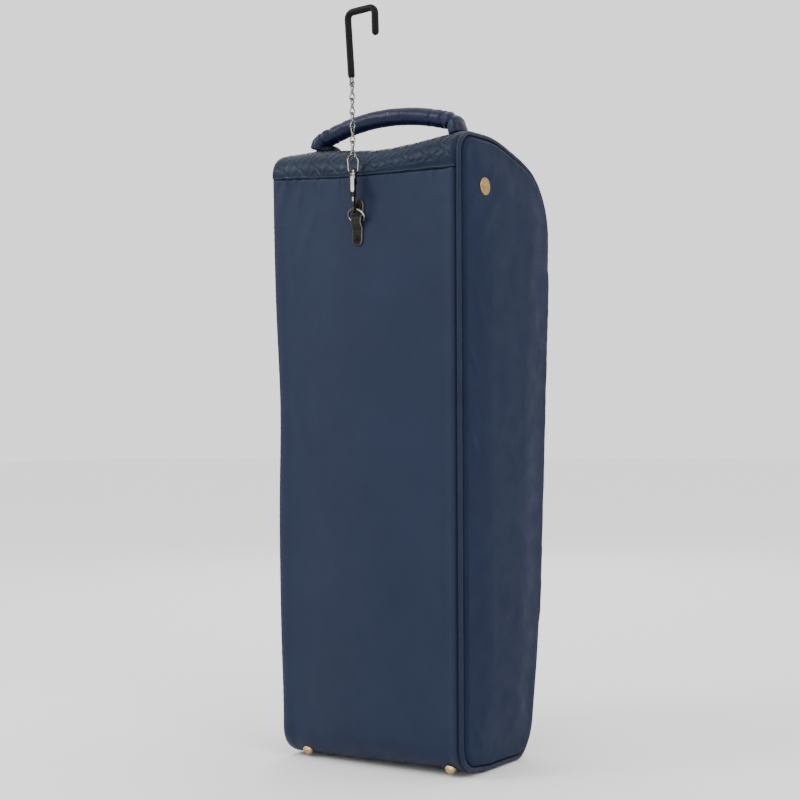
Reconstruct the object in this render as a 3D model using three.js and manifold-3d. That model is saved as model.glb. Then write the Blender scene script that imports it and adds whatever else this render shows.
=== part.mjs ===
// Tall hanging bag with a chain and hook, as an assembly of separate pieces.
// Millimetres, +Z up, ground at z = 0, hook face towards -Y, zip door towards +Y.
import * as THREE from 'three';
import { mergeVertices } from 'three/addons/utils/BufferGeometryUtils.js';
import Module from 'manifold-3d';

const wasm = await Module();
wasm.setup();

// ---- driving dimensions ----
const CENTRE_Y = 90.5; // depth of the middle of the bounding box, measured from the piping of the hook face
const BAG_WIDTH = 260; // across the pipings at TAPER_Z
const BASE_SHARE = 0.95; // width at the ground as a share of BAG_WIDTH
const TAPER_Z = 700;
const GAP = 0.3;
const PIPING_R = 2.75;
const SKIN_OUT = 1; // outer face of the cloth, inwards from the outermost line of the piping
const SKIN_IN = 3;
const BOARD_OUT = 3.4;
const BOARD_IN = 5.4;
const LINING_OUT = 5.8;
const LINING_IN = 6.8;
const CROWN = 5; // how far the padded faces swell out between the pipings
const SIDE_CROWN = 6;
const SIDE_ROLL = 18;
// corners of the side outline: depth, height, corner radius
const OUTLINE = [
  [0, 5, 30],
  [0, 701, 27],
  [78, 702, 130],
  [206, 655, 72],
  [173, 150, 300],
  [155, 3, 40],
];
const BASE_SEAM_Y = 46;
const BAND_SEAM_Z = 667;
const BAND_REAR_Y = 150;
const HINGE_Z = 130;
const DOOR_TOP_Z = 640;
const ZIP_X = 108; // zip line, out from the middle
const COIL_WIDTH = 2;
const COIL_SPLIT = 1; // half of the gap between the two rows of the zip
const TAPE_WIDTH = 8;
const TAPE_OUT = 3.4;
const TAPE_IN = 4.4;
const COIL_OUT = 1.6;
const SLIDER_Z = 160;
const SLIDER_LENGTH = 14;
const FOOT_R = 6.5;
const FOOT_Z = 6.2;
const FOOT_X = 102;
const FOOT_FRONT_Y = 22;
const FOOT_REAR_Y = 133;
const CAP_R = 10;
const CAP_Y = 46;
const CAP_Z = 643;
const HANDLE_R = 10;
const HANDLE_CORE_R = 5;
const HANDLE_Y = 44;
const HANDLE_END_X = 100;
const HANDLE_END_Z = 711;
const HANDLE_CREST_Z = 735.5;
const HANDLE_FLAT = 0.55; // height of the pinched ends as a share of the roll
const HANDLE_SPREAD = 1.3; // their width, likewise
const HANDLE_PINCH_X = 72; // where the pinch begins
const STRAP_WIDTH = 12;
const STRAP_THICK = 2;
const STRAP_TOP = 634.5;
const STRAP_BOTTOM = 583.5;
const STRAP_Y = SKIN_OUT - CROWN - 0.4; // face that lies on the cloth
const RIVET_TOP_Z = 627.5;
const RIVET_LOW_Z = 590.5;
const BAR_Y = -6.4; // straight bar of the D ring
const BAR_Z = 611;
const RING_WIRE_R = 1.4;
const RING_HALF_WIDTH = 10;
const RING_HEIGHT = 15;
const RING_LEAN = THREE.MathUtils.degToRad(36);
const SNAP_Y = -15.5; // line of the snap and the chain
const SNAP_BEND_Z = 624.1;
const SNAP_BEND_R = 4.4;
const SNAP_WIRE_R = 1.6;
const SNAP_TURN = 30; // the snap hangs with its thumb piece turned towards the right corner
const BOLT_R = 1.7;
const EYE_WIRE_R = 1.1;
const EYE_TURN = THREE.MathUtils.degToRad(70);
const LINK_PITCH = 16;
const LINK_WIRE_R = 0.9;
const LINK_LOOSE = 0.3;
const LINK_COUNT = 5;
const CHAIN_Z = 683; // top wire of the swivel eye
const HOOK_ROD_R = 2.5;
const HOOK_SLEEVE_R = 4;
const HOOK_TOP_Z = 843;
const HOOK_SPAN = 37;
const HOOK_TIP_Z = 816;
const HOOK_LEAN = 5; // sideways lean of the long leg over its length

const NAVY_CLOTH = ['#35405a', 0.55, 0];
const NAVY_LEATHER = ['#33405a', 0.4, 0];
const LINING_CLOTH = ['#2a3346', 0.8, 0];
const BOARD = ['#3a3a3c', 0.9, 0];
const BLACK_TAPE = ['#20263a', 0.7, 0];
const GOLD = ['#b8945f', 0.35, 1];
const STEEL = ['#a9abad', 0.3, 1];
const GUNMETAL = ['#55575b', 0.35, 1];
const BLACK_PAINT = ['#17181a', 0.45, 0.2];
const BLACK_PVC = ['#232324', 0.5, 0];
const FOAM = ['#8a8a86', 0.9, 0];

const group = new THREE.Group();
group.name = 'garment_bag';

function add(name, shape, [colour, roughness, metalness]) {
  const geometry = toGeometry(shape);
  geometry.translate(0, -CENTRE_Y, 0);
  const material = new THREE.MeshStandardMaterial({ color: colour, roughness, metalness });
  const mesh = new THREE.Mesh(geometry, material);
  mesh.name = name;
  group.add(mesh);
}

// a piece of the bag body, which narrows evenly towards the ground
function addTapered(name, shape, look) {
  const narrowed = shape.warp((p) => {
    p[0] *= BASE_SHARE + ((1 - BASE_SHARE) * p[2]) / TAPER_Z;
  });
  add(name, narrowed, look);
}

// ---- solids ----
function toGeometry(manifold) {
  const mesh = manifold.getMesh();
  const geometry = new THREE.BufferGeometry();
  geometry.setAttribute('position', new THREE.BufferAttribute(mesh.vertProperties, 3));
  geometry.setIndex(new THREE.BufferAttribute(mesh.triVerts, 1));
  geometry.computeVertexNormals();
  return geometry;
}

function solid(source) {
  const bare = source.clone();
  bare.deleteAttribute('normal');
  bare.deleteAttribute('uv');
  const merged = mergeVertices(bare, 1e-4);
  const p = merged.attributes.position;
  const corner = (i) => new THREE.Vector3().fromBufferAttribute(p, i);
  const faces = [];
  let volume = 0;
  for (let i = 0; i < merged.index.count; i += 3) {
    const [a, b, c] = [0, 1, 2].map((k) => merged.index.getX(i + k));
    if (a === b || b === c || c === a) continue;
    faces.push([a, b, c]);
    volume += corner(a).dot(corner(b).cross(corner(c)));
  }
  const wound = volume < 0 ? faces.map(([a, b, c]) => [a, c, b]) : faces;
  return new wasm.Manifold(new wasm.Mesh({
    numProp: 3,
    vertProperties: new Float32Array(p.array),
    triVerts: new Uint32Array(wound.flat()),
  }));
}

const union = (parts) => parts.reduce((a, b) => a.add(b));

function box(x0, x1, y0, y1, z0, z1) {
  const geometry = new THREE.BoxGeometry(x1 - x0, y1 - y0, z1 - z0);
  geometry.translate((x0 + x1) / 2, (y0 + y1) / 2, (z0 + z1) / 2);
  return solid(geometry);
}

// a turned piece: profile of [radius, height] pairs about +Z
function turned(profile, sides) {
  const points = profile.map(([r, h]) => new THREE.Vector2(r, h));
  const geometry = new THREE.LatheGeometry(points, sides);
  geometry.rotateX(Math.PI / 2);
  return solid(geometry);
}

function rod(radius, z0, z1, sides) {
  return turned([[0, z0], [radius, z0], [radius, z1], [0, z1]], sides);
}

function dome(radius, height, base, rings) {
  const profile = [[0, base]];
  for (let i = 0; i <= rings; i += 1) {
    const t = (i / rings) * (Math.PI / 2);
    profile.push([radius * Math.cos(t), height * Math.sin(t)]);
  }
  profile[profile.length - 1][0] = 0;
  profile.splice(1, 0, [radius, base]);
  return profile;
}

// puts a piece made about +Z at a point, with its axis along a direction
function placed(piece, point, direction) {
  const turn = new THREE.Quaternion().setFromUnitVectors(new THREE.Vector3(0, 0, 1), direction.clone().normalize());
  const matrix = new THREE.Matrix4().compose(point, turn, new THREE.Vector3(1, 1, 1));
  return solid(toGeometry(piece).applyMatrix4(matrix));
}

// a run of points whose corners fall exactly on the sections of a tube
class Run extends THREE.Curve {
  constructor(points) {
    super();
    this.points = points;
  }

  getPoint(t, target = new THREE.Vector3()) {
    const last = this.points.length - 1;
    const at = Math.min(Math.max(t, 0), 1) * last;
    const i = Math.min(Math.floor(at), last - 1);
    return target.lerpVectors(this.points[i], this.points[i + 1], at - i);
  }

  getUtoTmapping(u) {
    return u;
  }
}

function circle(radius, sides) {
  const points = [];
  for (let i = 0; i < sides; i += 1) {
    const a = (i / sides) * Math.PI * 2;
    points.push(new THREE.Vector2(radius * Math.cos(a), radius * Math.sin(a)));
  }
  return new THREE.Shape(points);
}

function tube(points, radius, sides) {
  const options = { steps: points.length - 1, extrudePath: new Run(points), bevelEnabled: false };
  return solid(new THREE.ExtrudeGeometry(circle(radius, sides), options));
}

function arc(centre, radius, from, to, steps, across, up) {
  const points = [];
  for (let i = 0; i <= steps; i += 1) {
    const a = THREE.MathUtils.degToRad(from + ((to - from) * i) / steps);
    points.push(centre.clone().addScaledVector(across, radius * Math.cos(a)).addScaledVector(up, radius * Math.sin(a)));
  }
  return points;
}

const V = (x, y, z) => new THREE.Vector3(x, y, z);
const X_DIR = V(1, 0, 0);
const Y_DIR = V(0, 1, 0);
const Z_DIR = V(0, 0, 1);

// ---- side outline: points with outward normals and the length run so far ----
function sideOutline() {
  const count = OUTLINE.length;
  const samples = [];
  const corner = (i) => new THREE.Vector2(OUTLINE[i % count][0], OUTLINE[i % count][1]);
  const start = new THREE.Vector2(80, 4.5);
  const push = (point, normal) => {
    const rearFoot = point.x > 60 && point.y < 200;
    const share = rearFoot ? 0 : THREE.MathUtils.clamp((point.y - 6) / 28, 0, 1);
    samples.push({ point, normal, puff: normal.clone().multiplyScalar(CROWN * share) });
  };
  push(start, new THREE.Vector2(0, -1));
  for (let i = 0; i < count; i += 1) {
    const here = corner(i);
    const into = here.clone().sub(i === 0 ? start : corner(i - 1)).normalize();
    const away = (i === count - 1 ? start : corner(i + 1)).clone().sub(here).normalize();
    const radius = OUTLINE[i][2];
    const bend = Math.acos(THREE.MathUtils.clamp(into.dot(away), -1, 1));
    const reach = radius * Math.tan(bend / 2);
    const steps = Math.max(1, Math.round(bend / 0.26));
    const outA = new THREE.Vector2(-into.y, into.x);
    const centre = here.clone().addScaledVector(into, -reach).addScaledVector(outA, -radius);
    const first = here.clone().addScaledVector(into, -reach);
    const before = samples[samples.length - 1];
    const parts = Math.max(1, Math.round(first.distanceTo(before.point) / 95));
    for (let k = 1; k < parts; k += 1) {
      const t = k / parts;
      push(before.point.clone().lerp(first, t), before.normal.clone().lerp(outA, t).normalize());
    }
    for (let k = 0; k <= steps; k += 1) {
      const turn = outA.clone().rotateAround(new THREE.Vector2(), (-bend * k) / steps);
      push(centre.clone().addScaledVector(turn, radius), turn);
    }
  }
  push(start.clone(), new THREE.Vector2(0, -1));
  samples[0].run = 0;
  for (let i = 1; i < samples.length; i += 1) {
    samples[i].run = samples[i - 1].run + samples[i].point.distanceTo(samples[i - 1].point);
  }
  return samples;
}

const outline = sideOutline();
const ROUND = outline[outline.length - 1].run;

function sampleAt(run) {
  const i = Math.max(1, outline.findIndex((s) => s.run >= run - 1e-9));
  const [a, b] = [outline[i - 1], outline[i]];
  const t = (run - a.run) / (b.run - a.run);
  return {
    run,
    point: a.point.clone().lerp(b.point, t),
    normal: a.normal.clone().lerp(b.normal, t).normalize(),
    puff: a.puff.clone().lerp(b.puff, t),
  };
}

// length along the outline at which a coordinate is reached, between two lengths
function runWhere(axis, value, from, to) {
  for (let i = 1; i < outline.length; i += 1) {
    const [a, b] = [outline[i - 1], outline[i]];
    const [low, high] = [a.point[axis] - value, b.point[axis] - value];
    if (a.run >= from - 1 && b.run <= to + 1 && low * high <= 0 && low !== high) {
      return a.run + ((b.run - a.run) * low) / (low - high);
    }
  }
  throw new Error(`the outline does not reach ${axis} = ${value}`);
}

const FACE_START = runWhere('x', 1, 0, 200);
const FACE_END = FACE_START + 690;
const baseRun = (y) => runWhere('x', y, 0, 100);
const faceRun = (z) => runWhere('y', z, FACE_START - 60, FACE_END);
const topRun = (y) => runWhere('x', y, FACE_END - 40, FACE_END + 260);
const rearRun = (z) => runWhere('y', z, FACE_END + 150, ROUND - 60);
const lateBaseRun = (y) => runWhere('x', y, ROUND - 110, ROUND);

function stretch(from, to) {
  const inside = outline.filter((s) => s.run > from + 0.5 && s.run < to - 0.5);
  return [sampleAt(from), ...inside, sampleAt(to)];
}

const inset = (s, depth) => s.point.clone().addScaledVector(s.normal, -depth);

// ---- padded swell of the wrap-round faces ----
const WRAP_X = BAG_WIDTH / 2 - 2 * PIPING_R - GAP;
const STATIONS = 8;

function nearest(y, z) {
  let best = null;
  const at = new THREE.Vector2(y, z);
  for (let i = 1; i < outline.length; i += 1) {
    const [a, b] = [outline[i - 1], outline[i]];
    const along = b.point.clone().sub(a.point);
    const t = THREE.MathUtils.clamp(at.clone().sub(a.point).dot(along) / along.lengthSq(), 0, 1);
    const gap = a.point.clone().lerp(b.point, t).distanceTo(at);
    if (!best || gap < best.gap) best = { gap, run: a.run + t * (b.run - a.run) };
  }
  return sampleAt(best.run);
}

function swollen(geometry) {
  const p = geometry.attributes.position;
  for (let i = 0; i < p.count; i += 1) {
    const [x, y, z] = [p.getX(i), p.getY(i), p.getZ(i)];
    const pillow = Math.max(0, 1 - (x / (WRAP_X * 0.75)) ** 2);
    const { puff } = nearest(y, z);
    p.setXYZ(i, x, y + puff.x * pillow, z + puff.y * pillow);
  }
  return geometry;
}

// a section drawn in depth and height, carried across the bag
function across(shape, halfWidth, steps) {
  const geometry = new THREE.ExtrudeGeometry(shape, { depth: 2 * halfWidth, steps, bevelEnabled: false });
  geometry.translate(0, 0, -halfWidth);
  const swap = new THREE.Matrix4().makeBasis(Y_DIR, Z_DIR, X_DIR);
  return geometry.applyMatrix4(swap);
}

function wrap(from, to, outer, inner, halfWidth = WRAP_X) {
  const samples = stretch(from, to);
  const points = samples.map((s) => inset(s, outer));
  points.push(...samples.map((s) => inset(s, inner)).reverse());
  return solid(swollen(across(new THREE.Shape(points), halfWidth, STATIONS)));
}

// the same section as a plain block, for cutting
function cutter(from, to, halfWidth) {
  const samples = stretch(from, to);
  const points = samples.map((s) => inset(s, -14));
  points.push(...samples.map((s) => inset(s, 16)).reverse());
  return solid(across(new THREE.Shape(points), halfWidth, 1));
}

function column(x0, x1) {
  return box(x0, x1, -60, 260, -20, 900);
}

function point3(sample, x, depth = 0) {
  const p = inset(sample, depth);
  return V(x, p.x, p.y);
}

const outward = (sample) => V(0, sample.normal.x, sample.normal.y);

// ---- cloth shell ----
const baseSeam = baseRun(BASE_SEAM_Y);
const bandSeam = faceRun(BAND_SEAM_Z);
const bandRear = topRun(BAND_REAR_Y);
const doorTop = rearRun(DOOR_TOP_Z);
const hingeRun = rearRun(HINGE_Z);
const SEAM = 0.25;
const HINGE_GAP = 0.6;

const rivetHole = (z, radius) => placed(rod(radius, -30, 30, 16), V(0, 0, z), Y_DIR);
const rivetHoles = rivetHole(RIVET_TOP_Z, 2.6).add(rivetHole(RIVET_LOW_Z, 2.6));

const feet = [];
for (const side of [-1, 1]) {
  for (const [end, y, find] of [['hook', FOOT_FRONT_Y, baseRun], ['door', FOOT_REAR_Y, lateBaseRun]]) {
    const seat = sampleAt(find(y));
    feet.push({ name: `${end}_${side < 0 ? 'left' : 'right'}`, seat, x: side * FOOT_X });
  }
}
const footHole = (foot) => placed(rod(1.8, -12, 12, 12), point3(foot.seat, foot.x), outward(foot.seat));
const footHoles = union(feet.map(footHole));

addTapered('back_panel', wrap(baseSeam + SEAM, bandSeam - SEAM, SKIN_OUT, SKIN_IN).subtract(rivetHoles).subtract(footHoles), NAVY_CLOTH);
addTapered('top_band', wrap(bandSeam + SEAM, bandRear - SEAM, SKIN_OUT, SKIN_IN), NAVY_LEATHER);

const doorCloth = cutter(doorTop - COIL_WIDTH - 1, hingeRun + 4, ZIP_X + COIL_SPLIT + COIL_WIDTH + 1);
addTapered('door_frame', wrap(bandRear + SEAM, hingeRun - SEAM, SKIN_OUT, SKIN_IN).subtract(doorCloth), NAVY_CLOTH);

const baseStart = wrap(hingeRun + SEAM, ROUND - 0.01, SKIN_OUT, SKIN_IN);
const baseEnd = wrap(0.01, baseSeam - SEAM, SKIN_OUT, SKIN_IN);
const baseLap = box(-WRAP_X, WRAP_X, 78, 82, 4.5 + SKIN_OUT, 4.5 + SKIN_IN);
addTapered('bottom_panel', union([baseStart, baseEnd, baseLap]).subtract(footHoles), NAVY_CLOTH);

// ---- stiffening boards ----
const boardColumn = column(-112, 112);
addTapered(
  'back_board',
  wrap(faceRun(45), faceRun(655), BOARD_OUT, BOARD_IN).intersect(boardColumn).subtract(rivetHoles),
  BOARD,
);
addTapered('base_board', box(-112, 112, 48, 102, 8.1, 9.8), BOARD);

// ---- lining ----
function full(depth, halfWidth) {
  const points = outline.slice(0, -1).map((s) => inset(s, depth));
  return solid(swollen(across(new THREE.Shape(points), halfWidth, STATIONS)));
}
const capHole = (side) => placed(rod(2.2, -20, 20, 12), V(side * 125, CAP_Y, CAP_Z), X_DIR);
const doorLining = cutter(doorTop - 10, hingeRun - 3, ZIP_X + COIL_SPLIT + TAPE_WIDTH + 1);
const lining = full(LINING_OUT, WRAP_X - GAP)
  .subtract(full(LINING_IN, WRAP_X - GAP - 1))
  .subtract(doorLining)
  .subtract(rivetHoles)
  .subtract(capHole(-1))
  .subtract(capHole(1));
addTapered('lining', lining, LINING_CLOTH);

// ---- side panels ----
function pillow(depth, roll, crown) {
  const shape = new THREE.Shape(outline.slice(0, -1).map((s) => inset(s, depth)));
  const options = {
    depth: 0.2,
    bevelEnabled: true,
    bevelThickness: crown,
    bevelSize: roll,
    bevelOffset: -roll,
    bevelSegments: 3,
  };
  const geometry = new THREE.ExtrudeGeometry(shape, options);
  return geometry.applyMatrix4(new THREE.Matrix4().makeBasis(Y_DIR, Z_DIR, X_DIR));
}
const SIDE_X = BAG_WIDTH / 2 - 4.5;
const sideEdge = 2 * PIPING_R + GAP;
const sideOuter = solid(pillow(sideEdge, SIDE_ROLL, SIDE_CROWN + 2).translate(SIDE_X, 0, 0));
const sideInner = solid(pillow(sideEdge + 2, SIDE_ROLL - 2, SIDE_CROWN).translate(SIDE_X, 0, 0));
const sideShell = sideOuter.subtract(sideInner).intersect(box(SIDE_X, 200, -60, 260, -20, 900));
const SIDE_TOP_X = SIDE_X + 0.2 + SIDE_CROWN + 2;
for (const [name, side] of [['left', -1], ['right', 1]]) {
  const panel = side > 0 ? sideShell : sideShell.mirror([1, 0, 0]);
  addTapered(`side_panel_${name}`, panel.subtract(capHole(side)), NAVY_CLOTH);

  const cord = stretch(0.4, ROUND - 0.4).map((s) => point3(s, side * (BAG_WIDTH / 2 - PIPING_R), PIPING_R));
  addTapered(`piping_${name}`, tube(cord, PIPING_R, 8), NAVY_LEATHER);
}

// ---- side caps ----
for (const [name, side] of [['left', -1], ['right', 1]]) {
  const head = turned([[0, 0.3], [CAP_R, 0.3], [CAP_R, 1], [8.6, 2.1], [6.8, 2.2], [6.2, 1.9], [4.6, 2.5], [0, 3]], 24);
  const post = rod(1.9, -4.4, 0.8, 12);
  const seat = V(side * SIDE_TOP_X, CAP_Y, CAP_Z);
  addTapered(`side_cap_${name}`, placed(head.add(post), seat, V(side, 0, 0)), GOLD);
  const washer = turned([[2.2, -3.6], [6, -3.6], [6, -2.5], [2.2, -2.5], [2.2, -3.6]], 18);
  addTapered(`side_cap_washer_${name}`, placed(washer, seat, V(side, 0, 0)), STEEL);
}

// ---- feet ----
const ground = box(-200, 200, -100, 300, 0, 100);
for (const foot of feet) {
  const base = point3(foot.seat, foot.x, SKIN_OUT);
  const lift = FOOT_Z - base.z;
  const head = placed(turned(dome(FOOT_R, FOOT_R, 0, 5), 20), base.clone().add(V(0, 0, lift)), outward(foot.seat));
  const post = placed(rod(1.5, -4.4, 1.5, 12), base, outward(foot.seat));
  const clear = wrap(0.5, baseSeam + 120, SKIN_OUT - GAP, SKIN_IN + 20);
  const clearRear = wrap(hingeRun, ROUND - 0.5, SKIN_OUT - GAP, SKIN_IN + 20);
  const dressed = head.subtract(foot.seat.run < 400 ? clear : clearRear).intersect(ground).add(post);
  addTapered(`foot_${foot.name}`, dressed, GOLD);
  const washer = turned([[1.8, -3.9], [4.2, -3.9], [4.2, -2.9], [1.8, -2.9], [1.8, -3.9]], 16);
  addTapered(`foot_washer_${foot.name}`, placed(washer, base, outward(foot.seat)), STEEL);
}

// ---- zip ----
const coilEdge = ZIP_X + COIL_SPLIT;
const tapeEdge = coilEdge + TAPE_WIDTH;
const zipFoot = hingeRun - 6;
const outerTape = wrap(doorTop - TAPE_WIDTH, zipFoot, TAPE_OUT, TAPE_IN)
  .intersect(column(-tapeEdge, tapeEdge))
  .subtract(cutter(doorTop, zipFoot + 5, coilEdge));
const outerCoil = wrap(doorTop - COIL_WIDTH, zipFoot, COIL_OUT, TAPE_IN)
  .intersect(column(-coilEdge - COIL_WIDTH, coilEdge + COIL_WIDTH))
  .subtract(cutter(doorTop, zipFoot + 5, coilEdge));
addTapered('zip_tape_outer', outerTape.add(outerCoil), BLACK_TAPE);

const innerEdge = ZIP_X - COIL_SPLIT;
const innerTop = doorTop + 2 * COIL_SPLIT;
const notchZ = SLIDER_Z + SLIDER_LENGTH + 6;
const notches = box(96, 140, 120, 260, 100, notchZ).add(box(-140, -96, 120, 260, 100, notchZ));
const innerTape = wrap(innerTop, hingeRun - 6, TAPE_OUT, TAPE_IN)
  .intersect(column(-innerEdge, innerEdge))
  .subtract(cutter(innerTop + TAPE_WIDTH, hingeRun + 5, innerEdge - TAPE_WIDTH));
const innerCoil = wrap(innerTop, hingeRun - 6, COIL_OUT, TAPE_IN)
  .intersect(column(-innerEdge, innerEdge))
  .subtract(cutter(innerTop + COIL_WIDTH, hingeRun + 5, innerEdge - COIL_WIDTH));
addTapered('zip_tape_inner', innerTape.add(innerCoil).subtract(notches), BLACK_TAPE);

const flap = wrap(innerTop + COIL_WIDTH + 1, hingeRun - HINGE_GAP, SKIN_OUT, SKIN_IN)
  .intersect(column(1 + COIL_WIDTH - innerEdge, innerEdge - COIL_WIDTH - 1));
addTapered('front_flap', flap.subtract(notches), NAVY_CLOTH);
const flapLining = wrap(innerTop + TAPE_WIDTH - 3, hingeRun - 6, TAPE_IN + 0.4, TAPE_IN + 1.4)
  .intersect(column(TAPE_WIDTH - innerEdge - 3, innerEdge - TAPE_WIDTH + 3));
addTapered('flap_lining', flapLining.subtract(notches), LINING_CLOTH);

// ---- zip slider and its pull ----
const park = sampleAt(rearRun(SLIDER_Z));
const parkOut = outward(park);
const parkUp = V(0, -parkOut.z, parkOut.y);
const parkFrame = new THREE.Matrix4().makeBasis(X_DIR, parkOut, parkUp).setPosition(point3(park, 0));
// a box at the parked slider: across, outwards and along the zip
function sliderBox(x0, x1, o0, o1, a0, a1) {
  const geometry = new THREE.BoxGeometry(x1 - x0, o1 - o0, a1 - a0);
  geometry.translate((x0 + x1) / 2, (o0 + o1) / 2, (a0 + a1) / 2);
  return solid(geometry.applyMatrix4(parkFrame));
}
const half = SLIDER_LENGTH / 2;
const slider = union([
  sliderBox(ZIP_X - 4, ZIP_X + 4, -0.6, 1.2, -half, half),
  sliderBox(ZIP_X - 0.6, ZIP_X + 0.6, -5.6, 0, -half + 3, half),
  sliderBox(ZIP_X - 0.6, ZIP_X + 4.5, -6, -4.9, -half + 3, half),
  sliderBox(ZIP_X - 1, ZIP_X + 1, 1, 4.6, -4, -2.4),
  sliderBox(ZIP_X - 1, ZIP_X + 1, 1, 4.6, 2.4, 4),
  sliderBox(ZIP_X - 1, ZIP_X + 1, 3.4, 4.6, -4, 4),
]);
addTapered('zip_slider', slider, GUNMETAL);
const pullRing = sliderBox(ZIP_X - 3, ZIP_X + 3, 1.7, 2.9, -26, 1.8)
  .subtract(sliderBox(ZIP_X - 1.5, ZIP_X + 1.5, 1, 4, -4.6, 0.4));
addTapered('zip_pull_tab', pullRing, GUNMETAL);

// ---- carrying handle ----
const handleHeight = (x) => HANDLE_CREST_Z - (HANDLE_CREST_Z - HANDLE_END_Z) * (x / HANDLE_END_X) ** 2;
const handleLine = [];
const HANDLE_STEPS = 22;
for (let i = 0; i <= HANDLE_STEPS; i += 1) {
  const x = HANDLE_END_X * Math.sin(((i / HANDLE_STEPS) * 2 - 1) * (Math.PI / 2));
  handleLine.push(V(x, HANDLE_Y, handleHeight(x)));
}
// the roll is pinched flat and spreads towards its ends
function pinched(shape) {
  return shape.warp((p) => {
    const x = THREE.MathUtils.clamp(p[0], -HANDLE_END_X, HANDLE_END_X);
    const share = THREE.MathUtils.smoothstep(Math.abs(x), HANDLE_PINCH_X, HANDLE_END_X);
    p[1] = HANDLE_Y + (p[1] - HANDLE_Y) * (1 + (HANDLE_SPREAD - 1) * share);
    p[2] = handleHeight(x) + (p[2] - handleHeight(x)) * (1 + (HANDLE_FLAT - 1) * share);
  });
}
const END_SLOPE = (2 * (HANDLE_CREST_Z - HANDLE_END_Z)) / HANDLE_END_X;
const endDirection = (side) => V(side, 0, -END_SLOPE).normalize();
const coverCaps = [-1, 1].map((side) => placed(
  turned(dome(HANDLE_R - 0.6, 5, -4, 3), 14),
  V(side * HANDLE_END_X, HANDLE_Y, HANDLE_END_Z),
  endDirection(side),
));
const handleShape = union([tube(handleLine, HANDLE_R, 14), ...coverCaps]);
const pastEnd = (side) => V(side * HANDLE_END_X, HANDLE_Y, HANDLE_END_Z).addScaledVector(endDirection(side), 8);
const handleBore = tube([pastEnd(-1), ...handleLine, pastEnd(1)], HANDLE_CORE_R + GAP, 10);
add('handle_cover', pinched(handleShape.subtract(handleBore)), NAVY_LEATHER);
add('handle_core', pinched(tube(handleLine.slice(1, -1), HANDLE_CORE_R - 0.3, 10)), FOAM);
for (const [name, side] of [['left', -1], ['right', 1]]) {
  const ends = [side * 88, side * 117].sort((a, b) => a - b);
  const tab = wrap(topRun(HANDLE_Y - 11), topRun(HANDLE_Y + 11), SKIN_OUT - 2.4, SKIN_OUT - 0.4);
  addTapered(`handle_tab_${name}`, tab.intersect(column(...ends)), NAVY_LEATHER);
}

// ---- hanging bracket, rivets and backing plate ----
function strapProfile() {
  const saddleOut = BAR_Y - RING_WIRE_R - 0.9;
  const line = [
    [STRAP_Y, STRAP_TOP],
    [STRAP_Y, BAR_Z + 10],
    [saddleOut, BAR_Z + 5],
    [saddleOut, BAR_Z - 5],
    [STRAP_Y, BAR_Z - 10],
    [STRAP_Y, STRAP_BOTTOM],
  ];
  const points = line.map(([y, z]) => new THREE.Vector2(y, z));
  points.push(...line.map(([y, z]) => new THREE.Vector2(y - STRAP_THICK, z)).reverse());
  return new THREE.Shape(points);
}
function strapFace(grow) {
  const r = STRAP_WIDTH / 2 + grow;
  const shape = new THREE.Shape();
  shape.absarc(0, STRAP_TOP - STRAP_WIDTH / 2, r, 0, Math.PI, false);
  shape.absarc(0, STRAP_BOTTOM + STRAP_WIDTH / 2, r, Math.PI, 2 * Math.PI, false);
  const geometry = new THREE.ExtrudeGeometry(shape, { depth: 60, bevelEnabled: false, curveSegments: 6 });
  geometry.rotateX(Math.PI / 2);
  return solid(geometry.translate(0, 30, 0));
}
const strap = solid(across(strapProfile(), STRAP_WIDTH / 2, 1)).intersect(strapFace(0));
add('hanging_bracket', strap.subtract(rivetHoles), BLACK_PAINT);

const plateRun = [faceRun(STRAP_BOTTOM - 4), faceRun(STRAP_TOP + 4)];
const plate = wrap(...plateRun, LINING_IN + 0.4, LINING_IN + 1.9).intersect(column(-14, 14));
add('bracket_backing_plate', plate.subtract(rivetHoles), STEEL);
const headY = STRAP_Y - STRAP_THICK - 0.3;
const plateY = LINING_IN + 1.9 - CROWN;
for (const [name, z] of [['top', RIVET_TOP_Z], ['low', RIVET_LOW_Z]]) {
  const head = placed(turned(dome(4, 2.4, 0, 4), 18), V(0, headY, z), V(0, -1, 0));
  const shank = placed(rod(2.2, headY - 0.5, plateY + 1.4, 14), V(0, 0, z), Y_DIR);
  const tail = placed(turned(dome(3.6, 1.2, 0, 2), 14), V(0, plateY + 0.3, z), Y_DIR);
  add(`bracket_rivet_${name}`, union([head, shank, tail]), BLACK_PAINT);
}

// ---- D ring ----
function ringPoint(x, up) {
  return V(x, BAR_Y - up * Math.sin(RING_LEAN), BAR_Z + up * Math.cos(RING_LEAN));
}
const bar = tube([ringPoint(-RING_HALF_WIDTH, 0), ringPoint(RING_HALF_WIDTH, 0)], RING_WIRE_R, 10);
const bowLine = [ringPoint(RING_HALF_WIDTH, -0.2)];
for (let i = 0; i <= 12; i += 1) {
  const a = (Math.PI * i) / 12;
  bowLine.push(ringPoint(RING_HALF_WIDTH * Math.cos(a), 5 + (RING_HEIGHT - 5) * Math.sin(a)));
}
bowLine.push(ringPoint(-RING_HALF_WIDTH, -0.2));
const knuckle = (x) => placed(turned([[0, -1.4], [1, -1.1], [1.4, 0], [1, 1.1], [0, 1.4]], 8), ringPoint(x, 0), X_DIR);
add(
  'd_ring',
  union([bar, tube(bowLine, RING_WIRE_R, 8), knuckle(RING_HALF_WIDTH), knuckle(-RING_HALF_WIDTH)]),
  STEEL,
);

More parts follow.
